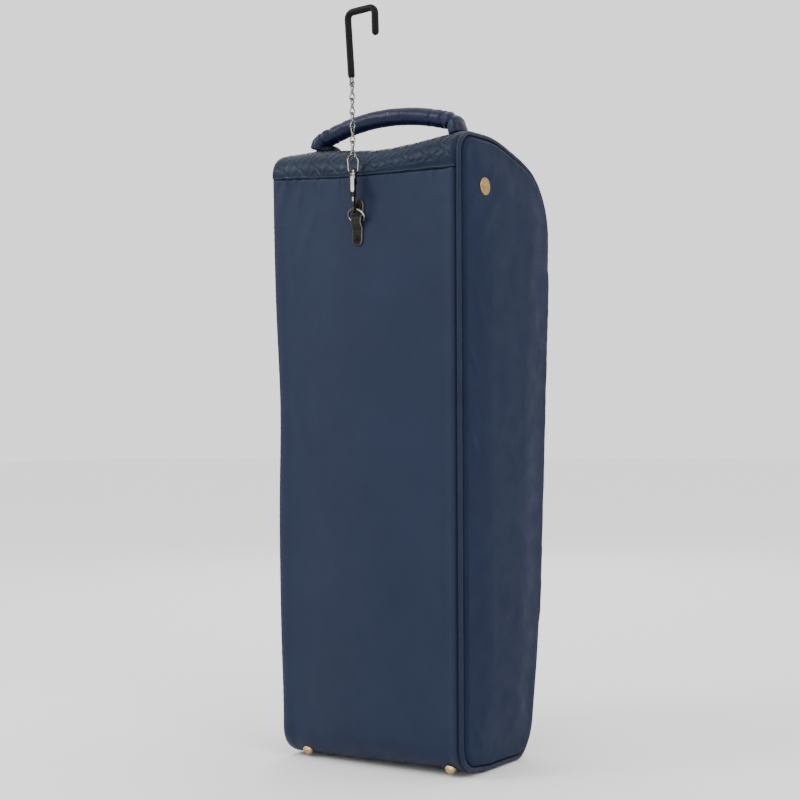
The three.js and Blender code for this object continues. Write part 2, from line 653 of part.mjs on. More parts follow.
// ---- bolt snap ----
const boltY = SNAP_Y - SNAP_BEND_R;
const shankY = SNAP_Y + SNAP_BEND_R;
const at = (y, z) => V(0, y, z);
const turnedSnap = (shape) => shape.translate([0, -SNAP_Y, 0]).rotate([0, 0, SNAP_TURN]).translate([0, SNAP_Y, 0]);
const hookLine = [at(SNAP_Y + 1.5, 652), at(shankY - 0.6, 645), at(shankY, 640)];
hookLine.push(...arc(at(SNAP_Y, SNAP_BEND_Z), SNAP_BEND_R, 0, -180, 8, Y_DIR, Z_DIR));
hookLine.push(at(boltY, 630.6));
const bore = (radius, y, z0, z1) => placed(rod(radius, z0, z1, 16), V(0, y, 0), Z_DIR);
const snapBody = union([tube(hookLine, SNAP_WIRE_R, 8), bore(3.4, boltY, 636, 656), bore(4.4, SNAP_Y, 650, 664)])
  .subtract(bore(BOLT_R + 0.4, boltY, 630.8, 654))
  .subtract(box(-1.3, 1.3, -30, boltY, 639.5, 654))
  .subtract(bore(2, SNAP_Y, 655.6, 666))
  .subtract(bore(3.2, SNAP_Y, 655.6, 659));
add('snap_body', turnedSnap(snapBody), GUNMETAL);
const lug = union([
  bore(BOLT_R, boltY, 631, 646),
  box(-0.9, 0.9, boltY - 4.6, boltY, 640.4, 645),
  box(-2.3, 2.3, boltY - 5.8, boltY - 4.2, 640.4, 654.4),
]);
add('snap_bolt', turnedSnap(lug), STEEL);

const alongEye = V(Math.cos(EYE_TURN), Math.sin(EYE_TURN), 0);
const eyeLine = [V(0, SNAP_Y, 664.8)];
eyeLine.push(...arc(V(0, SNAP_Y, CHAIN_Z - 7.2), 7.2, -38, 218, 18, alongEye, Z_DIR));
eyeLine.push(V(0, SNAP_Y, 664.8));
const eyeParts = [
  tube(eyeLine.slice(0, -1), EYE_WIRE_R, 7),
  tube(eyeLine.slice(-2), EYE_WIRE_R, 7),
  bore(2.7, SNAP_Y, 656, 658.6),
  bore(1.6, SNAP_Y, 657, 666.4),
  bore(3, SNAP_Y, 664.4, 666.6),
];
add('swivel_eye', union(eyeParts), STEEL);

// ---- chain ----
// one closed loop of wire that leaves and comes back to a neck point
function wireLoop(neck, end, halfWidth, along) {
  const height = end.z - neck.z;
  const line = [neck.clone()];
  const centre = neck.clone().addScaledVector(Z_DIR, height - Math.sign(height) * halfWidth);
  const rise = Math.sign(height);
  for (let i = 0; i <= 10; i += 1) {
    const a = THREE.MathUtils.degToRad(-22 + (224 * i) / 10);
    const p = centre.clone().addScaledVector(along, halfWidth * Math.cos(a));
    line.push(p.addScaledVector(Z_DIR, rise * halfWidth * Math.sin(a)));
  }
  const back = tube([line[line.length - 1], neck.clone()], LINK_WIRE_R, 6);
  return tube(line, LINK_WIRE_R, 6).add(back);
}
const bead = turned([[0, -1.3], [1, -0.8], [1.3, 0], [1, 0.8], [0, 1.3]], 8);
for (let i = 1; i <= LINK_COUNT; i += 1) {
  const top = CHAIN_Z + i * LINK_PITCH;
  const under = top - LINK_PITCH - 2 * LINK_WIRE_R - LINK_LOOSE - (i === 1 ? EYE_WIRE_R - LINK_WIRE_R : 0);
  const neck = V(0, SNAP_Y, under + 9.4);
  const parts = [
    wireLoop(neck, V(0, SNAP_Y, under), 3.1, X_DIR),
    wireLoop(neck, V(0, SNAP_Y, top), 2.7, Y_DIR),
    placed(bead, neck, Z_DIR),
  ];
  add(`chain_link_${i}`, union(parts), STEEL);
}

// ---- hanging hook ----
const hookEyeZ = CHAIN_Z + LINK_COUNT * LINK_PITCH + 0.3;
const legFoot = V(-0.4, SNAP_Y, hookEyeZ + 5);
const legTop = V(-HOOK_LEAN, SNAP_Y, HOOK_TOP_Z);
const beakTop = V(-HOOK_LEAN + HOOK_SPAN, SNAP_Y, HOOK_TOP_Z + 1.5);
const beakTip = V(-HOOK_LEAN + HOOK_SPAN + 0.6, SNAP_Y, HOOK_TIP_Z);
function bentLine(corners, radius, steps) {
  const line = [corners[0].clone()];
  for (let i = 1; i < corners.length - 1; i += 1) {
    const into = corners[i].clone().sub(corners[i - 1]).normalize();
    const away = corners[i + 1].clone().sub(corners[i]).normalize();
    const bend = into.angleTo(away);
    const reach = radius * Math.tan(bend / 2);
    const first = corners[i].clone().addScaledVector(into, -reach);
    const inwards = away.clone().addScaledVector(into, -away.dot(into)).normalize();
    for (let k = 0; k <= steps; k += 1) {
      const a = (bend * k) / steps;
      const p = first.clone().addScaledVector(into, radius * Math.sin(a));
      line.push(p.addScaledVector(inwards, radius * (1 - Math.cos(a))));
    }
  }
  line.push(corners[corners.length - 1].clone());
  return line;
}
const rodCorners = [legFoot, legTop, beakTop, beakTip];
const sleeveStart = legFoot.clone().lerp(legTop, 0.06);
const sleeveLine = bentLine([sleeveStart, legTop, beakTop, beakTip], 8, 5);
const tip = placed(turned(dome(HOOK_SLEEVE_R, 4, 0, 4), 12), beakTip.clone().add(V(0, 0, 0.01)), V(0, 0, -1));
const rodEnd = beakTip.clone().add(V(0, 0, 3));
const hookLineRod = bentLine([rodCorners[0], legTop, beakTop, rodEnd], 8, 5);
const sleeveBore = tube(bentLine([legFoot, legTop, beakTop, beakTip.clone().add(V(0, 0, 2.4))], 8, 5), HOOK_ROD_R + GAP, 10);
add('hook_sleeve', tube(sleeveLine, HOOK_SLEEVE_R, 12).add(tip).subtract(sleeveBore), BLACK_PVC);

function lugPlate() {
  const shape = new THREE.Shape();
  shape.absarc(0, 0, 3.6, Math.PI, 2 * Math.PI, false);
  shape.lineTo(2.6, 7);
  shape.lineTo(-2.6, 7);
  const hole = new THREE.Path();
  hole.absarc(0, 0, 1.7, 0, 2 * Math.PI, true);
  shape.holes.push(hole);
  const geometry = new THREE.ExtrudeGeometry(shape, { depth: 2.2, bevelEnabled: false, curveSegments: 8 });
  geometry.translate(0, 0, -1.1);
  geometry.rotateX(Math.PI / 2);
  return solid(geometry.translate(0, SNAP_Y, hookEyeZ));
}
add('hook_rod', tube(hookLineRod, HOOK_ROD_R, 10).add(lugPlate()), STEEL);

// ---- inner hanging loop and ring ----
const INNER_Y = plateY + 3;
const loopWeb = box(-5.5, 5.5, INNER_Y, INNER_Y + 1.4, 596, 634)
  .add(box(-5.5, 5.5, INNER_Y, INNER_Y + 8.4, 594.6, 596))
  .add(box(-5.5, 5.5, INNER_Y + 7, INNER_Y + 8.4, 594.6, 634))
  .add(box(-5.5, 5.5, INNER_Y, INNER_Y + 8.4, 632.6, 634));
add('inner_loop', loopWeb, BLACK_TAPE);
const ringCentre = V(0, INNER_Y + 4.2, 586.4);
const innerRing = [];
for (let i = 0; i < 24; i += 1) {
  const a = -Math.PI / 2 + (2 * Math.PI * (i + 0.02)) / 24;
  innerRing.push(ringCentre.clone().add(V(13 * Math.cos(a), 0, 13 * Math.sin(a))));
}
add('inner_ring', tube([...innerRing, innerRing[0].clone().add(V(-0.3, 0, 0))], 1.5, 7), STEEL);

export default group;
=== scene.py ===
import math

import bmesh
import bpy
import numpy as np
from mathutils import Matrix, Vector


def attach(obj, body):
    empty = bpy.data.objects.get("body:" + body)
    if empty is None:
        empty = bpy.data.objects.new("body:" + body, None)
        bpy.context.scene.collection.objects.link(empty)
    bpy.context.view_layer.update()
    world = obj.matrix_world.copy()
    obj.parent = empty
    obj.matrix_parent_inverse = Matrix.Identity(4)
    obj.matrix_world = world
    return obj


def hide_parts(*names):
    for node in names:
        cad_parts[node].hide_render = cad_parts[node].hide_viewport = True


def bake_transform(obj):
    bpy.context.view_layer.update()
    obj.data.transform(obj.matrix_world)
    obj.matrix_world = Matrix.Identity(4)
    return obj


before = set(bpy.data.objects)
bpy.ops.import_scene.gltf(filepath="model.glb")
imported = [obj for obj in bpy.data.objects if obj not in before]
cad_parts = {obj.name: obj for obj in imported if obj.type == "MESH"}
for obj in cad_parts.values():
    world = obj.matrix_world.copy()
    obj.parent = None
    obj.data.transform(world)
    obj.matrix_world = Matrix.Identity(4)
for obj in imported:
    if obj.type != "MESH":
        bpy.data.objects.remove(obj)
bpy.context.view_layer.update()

# ---- dimensions, in millimetres unless said; depth runs from the hook face towards the door ----
CENTRE_DEPTH = 90.5
BAG_WIDTH = 260.0
BASE_SHARE = 0.95
TAPER_Z = 700.0
PIPING_R = 2.75
GAP = 0.3
WRAP_X = BAG_WIDTH / 2 - 2 * PIPING_R - GAP
SKIN = 1.0  # cloth surface, inwards from the outermost line of the piping
CROWN = 5.0
OUTLINE = [
    (0, 5, 30),
    (0, 701, 27),
    (78, 702, 130),
    (206, 655, 72),
    (173, 150, 300),
    (155, 3, 40),
]
OUTLINE_START = (80.0, 4.5)
BASE_SEAM = 46.0
BAND_Z = 667.0
BAND_REAR = 150.0
HINGE_Z = 130.0
DOOR_Z = 640.0
ZIP_X = 108.0
TAPE = 8.0
SLIDER_Z = 160.0
CAP_DEPTH, CAP_Z = 46.0, 643.0
HANDLE_DEPTH = 44.0
STRAP_FACE = -4.4
BAR_DEPTH, BAR_Z = -6.4, 611.0
CHAIN_DEPTH = -15.5
SIDES = (("left", -1), ("right", 1))


# ---- small numeric helpers ----
def smooth(t):
    """Eased step from 0 to 1."""
    t = np.clip(t, 0.0, 1.0)
    return t * t * (3 - 2 * t)


def bell(t, width):
    """Smooth bump: 1 where t is 0, and down to 0.37 where t is the width."""
    return np.exp(-((t / width) ** 2))


def unit(v):
    v = np.asarray(v, float)
    return v / max(np.linalg.norm(v), 1e-12)


def units(rows):
    """Rows of vectors scaled to length one."""
    return rows / np.linalg.norm(rows, axis=-1, keepdims=True)


class Field:
    """Smooth random field over a plane, from -1 to 1, the same on each run."""

    def __init__(self, seed, size=97):
        self.size = size
        self.grid = np.random.default_rng(seed).uniform(-1, 1, (size, size))

    def once(self, u, v):
        iu, iv = np.floor(u).astype(int), np.floor(v).astype(int)
        fu, fv = smooth(u - iu), smooth(v - iv)
        g, n = self.grid, self.size
        low = g[iu % n, iv % n] * (1 - fu) + g[(iu + 1) % n, iv % n] * fu
        high = g[iu % n, (iv + 1) % n] * (1 - fu) + g[(iu + 1) % n, (iv + 1) % n] * fu
        return low * (1 - fv) + high * fv

    def __call__(self, u, v, octaves=3):
        total, gain = 0.0, 1.0
        for k in range(octaves):
            total = total + gain * self.once(u * 2**k + 13.7 * k, v * 2**k + 5.1 * k)
            gain *= 0.5
        return total / 1.6


def crease_field(u, v, creases):
    """Soft folds: rows of (u0, v0, u1, v1, width, height, open_start)."""
    total = np.zeros(np.broadcast(u, v).shape)
    for u0, v0, u1, v1, width, height, open_start in creases:
        du, dv = u1 - u0, v1 - v0
        length = math.hypot(du, dv)
        reach = 5 * width
        near = (
            (u > min(u0, u1) - reach) & (u < max(u0, u1) + reach)
            & (v > min(v0, v1) - reach) & (v < max(v0, v1) + reach)
        )
        uu, vv = np.broadcast_to(u, total.shape)[near], np.broadcast_to(v, total.shape)[near]
        t = ((uu - u0) * du + (vv - v0) * dv) / length**2
        off = ((uu - u0) * dv - (vv - v0) * du) / length
        spread = width * (1 + 0.8 * np.clip(t, 0, 1))
        if open_start:
            along = smooth(1 + t * 6) * (1 - smooth(t)) * (t > -0.3)
        else:
            along = np.sin(math.pi * np.clip(t, 0, 1)) ** 0.8
        across = bell(off, spread) - 0.5 * bell(off, 2.1 * spread)
        total[near] += height * along * across
    return total


# ---- the side outline of the bag ----
def trace_outline(step=1.5):
    """Distances, points and outward normals along the side outline, whose corners are arcs."""
    start, down = np.array(OUTLINE_START), np.array([0.0, -1.0])
    points, normals = [start], [down]

    def push(p, n):
        if np.linalg.norm(p - points[-1]) > 1e-6:
            points.append(p)
            normals.append(unit(n))

    def straight(end, normal):
        """Even steps up to the end point, with the normal turning on the way."""
        before, before_n = points[-1], normals[-1]
        count = max(1, int(round(np.linalg.norm(end - before) / step)))
        for k in range(1, count):
            t = k / count
            push(before + (end - before) * t, before_n * (1 - t) + normal * t)

    stops = [start] + [np.array(corner[:2], float) for corner in OUTLINE] + [start]
    for before, here, after, (*_, radius) in zip(stops, stops[1:], stops[2:], OUTLINE):
        into, away = unit(here - before), unit(after - here)
        bend = math.acos(np.clip(into @ away, -1, 1))
        reach = radius * math.tan(bend / 2)
        out = np.array([-into[1], into[0]])
        first = here - into * reach
        centre = first - out * radius
        straight(first, out)
        arcs = max(2, int(round(bend * radius / step)))
        for k in range(arcs + 1):
            c, s = math.cos(bend * k / arcs), -math.sin(bend * k / arcs)
            turn = np.array([out[0] * c - out[1] * s, out[0] * s + out[1] * c])
            push(centre + turn * radius, turn)
    count = int(np.linalg.norm(start - points[-1]) / step)
    before, before_n = points[-1], normals[-1]
    for k in range(1, count + 1):
        t = k / count
        push(before + (start - before) * t, before_n * (1 - t) + down * t)
    points, normals = np.array(points), np.array(normals)
    run = np.concatenate([[0], np.cumsum(np.linalg.norm(np.diff(points, axis=0), axis=1))])
    return run, points, normals


RUN, POINT, NORMAL = trace_outline()
ROUND = RUN[-1]
low_rear = smooth((POINT[:, 0] - 55) / 20) * (1 - smooth((POINT[:, 1] - 120) / 130))
PUFF = np.clip((POINT[:, 1] - 6) / 28, 0, 1) * (1 - low_rear)  # how much of the crown shows at each run


def at_run(s):
    """Point, outward normal and puff of the outline at the run s, which is a distance along it."""
    s = np.asarray(s, float)
    p = np.stack([np.interp(s, RUN, POINT[:, k]) for k in range(2)], -1)
    n = np.stack([np.interp(s, RUN, NORMAL[:, k]) for k in range(2)], -1)
    n /= np.linalg.norm(n, axis=-1, keepdims=True)
    return p, n, np.interp(s, RUN, PUFF)


def run_where(axis, value, low, high):
    """The run, between low and high, at which depth (axis 0) or z (axis 1) reaches the value."""
    for i in range(1, len(RUN)):
        a, b = POINT[i - 1][axis] - value, POINT[i][axis] - value
        if RUN[i - 1] >= low - 2 and RUN[i] <= high + 2 and a * b <= 0 and a != b:
            return RUN[i - 1] + (RUN[i] - RUN[i - 1]) * a / (a - b)
    raise ValueError((axis, value))


FACE_START = run_where(0, 1.0, 0, 200)
FACE_END = FACE_START + 690
S_BASE = run_where(0, BASE_SEAM, 0, 100)
S_BAND = run_where(1, BAND_Z, FACE_START - 60, FACE_END)
S_REAR = run_where(0, BAND_REAR, FACE_END - 40, FACE_END + 260)


def rear_run(z):
    return run_where(1, z, FACE_END + 150, ROUND - 60)


S_HINGE = rear_run(HINGE_Z)
S_DOOR = rear_run(DOOR_Z)


def body_shape(v):
    """Tapers the bag towards the ground and adds its small settled lean and sag. v is x, depth, z."""
    v = np.array(v, float)
    x, d, z = v[..., 0].copy(), v[..., 1].copy(), v[..., 2].copy()
    v[..., 0] = x * (BASE_SHARE + (1 - BASE_SHARE) * z / TAPER_Z)
    # the left edge bends in at half height and near the ground
    left = smooth((-x - 30) / 100)
    v[..., 0] += left * (4.6 * bell(z - 405, 95) + 1.6 * bell(z - 60, 60))
    # the door side draws in near the ground and just below its shoulder
    low = 1 - smooth(z / 130)
    v[..., 1] -= 4.5 * low * smooth((d - 100) / 60)
    v[..., 1] -= 2.6 * smooth((d - 150) / 30) * bell(z - 632, 40)
    # the base sags between the feet and on the left of the hook face
    v[..., 2] -= 3.6 * (1 - smooth(z / 40)) * smooth((d - 28) / 30) * (1 - smooth((d - 132) / 26))
    v[..., 2] -= 2.6 * (1 - smooth(z / 40)) * (1 - smooth((d - 28) / 30)) * smooth((70 - x) / 120)
    # the shoulder above the door is full
    shoulder = 4.2 * bell(d - 140, 38) * smooth((z - 590) / 50)
    v[..., 1] += 0.34 * shoulder
    v[..., 2] += 0.94 * shoulder
    # the soft top sinks between the ends of the handle
    hollow = np.cos(math.pi / 2 * np.clip((x - 14) / 110, -1, 1)) ** 2
    v[..., 2] -= 12.0 * hollow * smooth((z - 655) / 42) * (1 - smooth((d - 88) / 62))
    return v


LAP = 3.8  # how far the hook face laps over the left piping


def lap_zone(s):
    """1 along the hook face, where it laps over the left piping, and 0 elsewhere."""
    return smooth((s - S_BASE) / 30) * (1 - smooth((s - FACE_END - 30) / 50))


def pillow(x):
    """Share of the crown at x: full in the middle and none at the edges."""
    return 0.5 * (1 + np.cos(math.pi * np.clip(np.abs(x) / 119, 0, 1)))


def wrapped(xs, runs, depth, relief=None, shift=None):
    """Grid of points on the bag's wrap-round face: (len(runs), len(xs), 3), before body_shape."""
    x, s = np.meshgrid(np.asarray(xs, float), np.asarray(runs, float))
    if shift is not None:
        s = s + shift(x, s)
    p, n, puff = at_run(s)
    lift = -depth + CROWN * puff * pillow(x)
    if relief is not None:
        lift = lift + relief(x, s, p)
    q = p + n * lift[..., None]
    if depth < 3:
        x = x - LAP * smooth((-x - 110) / 14) * lap_zone(s)
    return np.stack([x, q[..., 0], q[..., 1]], -1)


def seat(x, s, lift, crown=0):
    """Points that stand lift off the outline, and the outward normals there; crown is 1 on the domed face."""
    x, s = np.broadcast_arrays(np.asarray(x, float), np.asarray(s, float))
    p, n, puff = at_run(s)
    q = p + n * (lift + crown * (CROWN * puff * pillow(x)))[..., None]
    return np.stack([x, q[..., 0], q[..., 1]], -1), np.stack([0 * x, n[..., 0], n[..., 1]], -1)


def heading(s):
    """Steps along the outline from each run s, as (0, depth, z) rows."""
    return np.stack([0 * s, *(at_run(s + 0.5)[0] - at_run(s)[0]).T], -1)


def span(low, high, step):
    return np.linspace(low, high, max(2, int(round(abs(high - low) / step)) + 1))


def lines(*groups, digits=3):
    """Grid lines from several groups in one sorted row, each line once."""
    return np.unique(np.round(np.concatenate(groups), digits))


# ---- mesh parts: (vertices, faces) with vertices as x, depth, z in millimetres ----
def orient(verts, faces):
    """Turns the faces of a closed part outwards."""
    tri = np.array([f[:3] for f in faces] + [[f[0], f[2], f[3]] for f in faces if len(f) == 4])
    a, b, c = (verts[tri[:, k]] for k in range(3))
    if np.einsum("ij,ij->i", a, np.cross(b, c)).sum() < 0:
        faces = [tuple(reversed(f)) for f in faces]
    return verts, faces


def ring_faces(rings, sides, closed=False):
    """Quads between rings of points that follow each other."""
    after = [*range(1, rings), 0] if closed else range(1, rings)
    return [
        (i * sides + k, i * sides + (k + 1) % sides, j * sides + (k + 1) % sides, j * sides + k)
        for i, j in enumerate(after)
        for k in range(sides)
    ]


def end_faces(count, sides):
    """Flat ends on the first and the last ring of count points."""
    return [tuple(reversed(range(sides))), tuple(range(count - sides, count))]


def solid(outer, inner, quads, start, stop):
    """Closes two layers with the same quads by walls along the rim from each start to its stop."""
    n = outer.size // 3
    walls = np.stack([stop, start, start + n, stop + n], -1)
    faces = np.concatenate([quads, quads[:, ::-1] + n, walls])
    return np.concatenate([outer.reshape(-1, 3), inner.reshape(-1, 3)]), faces


def shell(outer, inner, keep=None):
    """Closed solid between two grids; keep marks the cells that are used."""
    rows, cols = outer.shape[:2]
    n = rows * cols
    idx = np.arange(n).reshape(rows, cols)
    quads = np.stack([idx[:-1, :-1], idx[:-1, 1:], idx[1:, 1:], idx[1:, :-1]], -1).reshape(-1, 4)
    if keep is not None:
        quads = quads[keep.reshape(-1)]
    edges = np.concatenate([quads[:, [k, (k + 1) % 4]] for k in range(4)])
    lone = ~np.isin(edges[:, 0] * n + edges[:, 1], edges[:, 1] * n + edges[:, 0])
    verts, faces = solid(outer, inner, quads, *edges[lone].T)
    used, faces = np.unique(faces, return_inverse=True)
    return orient(verts[used], [tuple(f) for f in faces.reshape(-1, 4).tolist()])


def ring_shell(outer, inner):
    """Closed solid between two grids whose rows are rings, the first one the rim."""
    rows, cols = outer.shape[:2]
    idx = np.arange(rows * cols).reshape(rows, cols)
    nxt = np.roll(idx, -1, 1)
    quads = np.stack([idx[:-1], nxt[:-1], nxt[1:], idx[1:]], -1).reshape(-1, 4)
    verts, faces = solid(outer, inner, quads, idx[0], nxt[0])
    return verts, [tuple(f) for f in faces.tolist()]


def domed(path, tangent, ring, levels, size, pointed):
    """Tube of rings with domed ends: levels of (share of the end ring, rise in sizes)."""
    n, sides = ring.shape[:2]
    verts, faces = list(ring.reshape(-1, 3)), ring_faces(n, sides)
    for end, sign in ((0, -1), (n - 1, 1)):
        out = tangent[end] * sign
        prev = [end * sides + k for k in range(sides)]
        for share, rise in levels:
            now = [len(verts) + k for k in range(sides)]
            verts.extend(path[end] + (p - path[end]) * share + out * rise * size[end] for p in ring[end])
            quads = zip(prev, prev[1:] + prev[:1], now[1:] + now[:1], now)
            faces.extend(quad[::sign] for quad in quads)
            prev = now
        if pointed:
            faces.extend((prev[k], prev[(k + 1) % sides], len(verts))[::sign] for k in range(sides))
            verts.append(path[end] + out * size[end])
        else:
            faces.append(tuple(prev)[::sign])
    return orient(np.array(verts), faces)


def tube(path, radius, sides=12, closed=False, up=(0, 0, 1), wide=None):
    """Tube along a path; radius may vary, and wide is the half width across up where it isn't round."""
    path, up = np.asarray(path, float), np.asarray(up, float)
    n = len(path)
    radius = np.broadcast_to(np.asarray(radius, float), (n,))
    wide = radius if wide is None else np.broadcast_to(np.asarray(wide, float), (n,))
    tangent = units(np.roll(path, -1, 0) - np.roll(path, 1, 0) if closed else np.gradient(path, axis=0))
    ref = unit(up - tangent[0] * (up @ tangent[0]))
    if abs(up @ tangent[0]) > 0.95:
        ref = unit(np.cross(tangent[0], (0.3, 0.9, 0.2)))
    frames = []
    for t in tangent:
        ref = unit(ref - t * (ref @ t))
        frames.append(ref)
    frames = np.array(frames)
    if closed:  # the twist left after one round is shared out
        last = unit(frames[-1] - tangent[0] * (frames[-1] @ tangent[0]))
        twist = math.atan2(last @ np.cross(tangent[0], frames[0]), last @ frames[0])
        share = np.arange(n)[:, None] / n
        frames = frames * np.cos(-twist * share) + np.cross(tangent, frames) * np.sin(-twist * share)
    angle = np.linspace(0, 2 * math.pi, sides, endpoint=False)[None, :, None]
    ring = (
        path[:, None, :]
        + frames[:, None, :] * (np.cos(angle) * radius[:, None, None])
        + np.cross(tangent, frames)[:, None, :] * (np.sin(angle) * wide[:, None, None])
    )
    if closed:
        return orient(ring.reshape(-1, 3), ring_faces(n, sides, closed))
    levels = ((0.92, 0.38), (0.70, 0.71), (0.38, 0.92))
    return domed(path, tangent, ring, levels, np.minimum(radius, wide), True)


def lathe(profile, origin, axis, sides=48):
    """Turned solid: profile of (radius, height) from one pole to the other."""
    axis = unit(axis)
    ref = unit(np.cross(axis, (0.21, 0.52, 0.83) if abs(axis[2]) < 0.9 else (0, 1, 0)))
    other = np.cross(axis, ref)
    angle = np.linspace(0, 2 * math.pi, sides, endpoint=False)
    verts, faces, rings = [], [], []
    for r, h in profile:
        centre = np.asarray(origin, float) + axis * h
        if r < 1e-6:
            rings.append([len(verts)] * sides)
            verts.append(centre)
        else:
            rings.append([len(verts) + k for k in range(sides)])
            verts.extend(centre + r * (ref * math.cos(a) + other * math.sin(a)) for a in angle)
    loops = list(zip(rings[:-1], rings[1:]))
    if profile[0][0] > 1e-6:
        loops.append((rings[-1], rings[0]))
    for low, high in loops:
        for k in range(sides):
            m = (k + 1) % sides
            face = []
            for i in (low[k], low[m], high[m], high[k]):
                if i not in face:
                    face.append(i)
            if len(face) > 2:
                faces.append(tuple(face))
    return orient(np.array(verts), faces)


def rounded(profile, radius=0.3, steps=3):
    """Rounds the corners of an open profile."""
    out = [profile[0]]
    for a, b, c in zip(profile[:-2], profile[1:-1], profile[2:]):
        a, b, c = (np.array(p, float) for p in (a, b, c))
        into, away = a - b, c - b
        reach = min(radius, 0.45 * np.linalg.norm(into), 0.45 * np.linalg.norm(away))
        p0, p1 = b + unit(into) * reach, b + unit(away) * reach
        for k in range(steps + 1):
            t = k / steps
            out.append(tuple((1 - t) ** 2 * p0 + 2 * t * (1 - t) * b + t * t * p1))
    out.append(profile[-1])
    return out


def stitches(centres, directions, normals, length=2.5, radius=0.34, sunk=0.1):
    """Row of thread stitches as small capsules lying on a surface."""
    profile = [(-0.5, 0.35), (-0.42, 0.8), (-0.2, 1.0), (0.2, 1.0), (0.42, 0.8), (0.5, 0.35)]
    sides = 6
    directions = units(np.asarray(directions, float))
    side = units(np.cross(normals, directions))
    normals = np.cross(directions, side)
    angle = np.linspace(0, 2 * math.pi, sides, endpoint=False)
    rings = [(t * length, r * radius, a) for t, r in profile for a in angle]
    local = np.array([(along, r * math.cos(a), r * math.sin(a)) for along, r, a in rings])
    droop = -sunk - 0.55 * (np.abs(local[:, 0]) / (0.5 * length)) ** 3 * radius
    pts = (
        centres[:, None, :]
        + directions[:, None, :] * local[None, :, 0, None]
        + side[:, None, :] * local[None, :, 1, None]
        + normals[:, None, :] * (local[:, 2] + droop)[None, :, None]
    )
    m = len(local)
    one = ring_faces(len(profile), sides) + end_faces(m, sides)
    return pts.reshape(-1, 3), [tuple(v + j * m for v in face) for j in range(len(centres)) for face in one]


def arc_points(centre, radius, start, stop, count, across, up):
    """Points on an arc between two angles in degrees."""
    centre, across, up = (np.asarray(a, float) for a in (centre, across, up))
    angles = np.radians(np.linspace(start, stop, count))
    return [centre + radius * (math.cos(a) * across + math.sin(a) * up) for a in angles]


def fillet(corners, radius, steps=10):
    """Polyline with its corners turned into arcs."""
    corners = [np.asarray(c, float) for c in corners]
    line = [corners[0]]
    for a, b, c in zip(corners[:-2], corners[1:-1], corners[2:]):
        into, away = unit(b - a), unit(c - b)
        bend = math.acos(np.clip(into @ away, -1, 1))
        reach = radius * math.tan(bend / 2)
        inwards = unit(away - into * (away @ into))
        for k in range(steps + 1):
            t = bend * k / steps
            line.append(b - into * reach + into * radius * math.sin(t) + inwards * radius * (1 - math.cos(t)))
    line.append(corners[-1])
    return line


def resample(path, step):
    """The same line with even steps."""
    path = np.asarray(path, float)
    run = np.concatenate([[0], np.cumsum(np.linalg.norm(np.diff(path, axis=0), axis=1))])
    s = span(0, run[-1], step)
    return np.stack([np.interp(s, run, path[:, k]) for k in range(3)], -1)


# ---- materials ----
def wire(tree, made, inputs):
    """Sets the inputs of a node by name or number; a socket as the value is linked instead."""
    for key, value in inputs.items():
        if isinstance(value, bpy.types.NodeSocket):
            tree.links.new(value, made.inputs[key])
        else:
            made.inputs[key].default_value = value


def adder(tree):
    """A function that adds a shader node to the tree and fills its inputs."""
    def add(kind, inputs, **settings):
        made = tree.nodes.new("ShaderNode" + kind)
        for key, value in settings.items():
            setattr(made, key, value)
        wire(tree, made, inputs)
        return made
    return add


def weave(add, coords, scale):
    inputs = {"Scale": scale, "Distortion": 0.3, "Detail": 1, "Vector": coords}
    threads = [add("TexWave", inputs, wave_type="BANDS", bands_direction=way) for way in ("Z", "DIAGONAL")]
    both = add("Math", {k: thread.outputs["Fac"] for k, thread in enumerate(threads)}, operation="ADD")
    return both.outputs[0]


def grain(add, coords, scale):
    cells = add("TexVoronoi", {"Scale": scale, "Vector": coords}, feature="DISTANCE_TO_EDGE")
    return add("MapRange", {"From Max": 0.35, "Value": cells.outputs["Distance"]}).outputs["Result"]


def brushed(add, coords, scale):
    stretch = add("Mapping", {"Scale": (1.0, 1.0, 0.08), "Vector": coords}).outputs["Vector"]
    return add("TexNoise", {"Scale": scale, "Detail": 3, "Vector": stretch}).outputs["Fac"]


def noise(add, coords, scale):
    inputs = {"Scale": scale, "Detail": 6, "Roughness": 0.65, "Vector": coords}
    return add("TexNoise", inputs).outputs["Fac"]


MIX_A, MIX_B, MIX_RESULT = 6, 7, 2  # the colour sockets of a Mix node


def edge_wear_and_highlight(add, colour, wear_and_highlight):
    """Paints a lighter colour on raised edges: rubbing on some materials, a painted highlight on others."""
    point = add("NewGeometry", {}).outputs["Pointiness"]
    edge = add("MapRange", {"From Min": 0.52, "From Max": 0.60, "Value": point}).outputs["Result"]
    mask = add("Math", {0: edge, 1: wear_and_highlight[1]}, operation="MULTIPLY").outputs[0]
    inputs = {"Factor": mask, MIX_A: colour, MIX_B: (*wear_and_highlight[0], 1)}
    return add("Mix", inputs, data_type="RGBA").outputs[MIX_RESULT]


def painted_reflection_bands(add, colour, painted_reflection):
    """Painted reflection: darkens and lightens a polished round from its crest to its rim by how squarely it
    faces the view, like a reflected room.
    """
    bands = add("ValToRGB", {"Fac": add("LayerWeight", {}).outputs["Facing"]})
    stops = bands.color_ramp.elements
    for position, value in ((0.02, painted_reflection[1]), (0.10, painted_reflection[0]), (0.70, painted_reflection[0]), (0.97, painted_reflection[2])):
        stops.new(position).color = (value, value, value * 0.98, 1)
    stops.remove(stops[0])
    stops.remove(stops[-1])
    inputs = {"Factor": 1.0, MIX_A: colour, MIX_B: bands.outputs["Color"]}
    return add("Mix", inputs, data_type="RGBA", blend_type="MULTIPLY").outputs[MIX_RESULT]


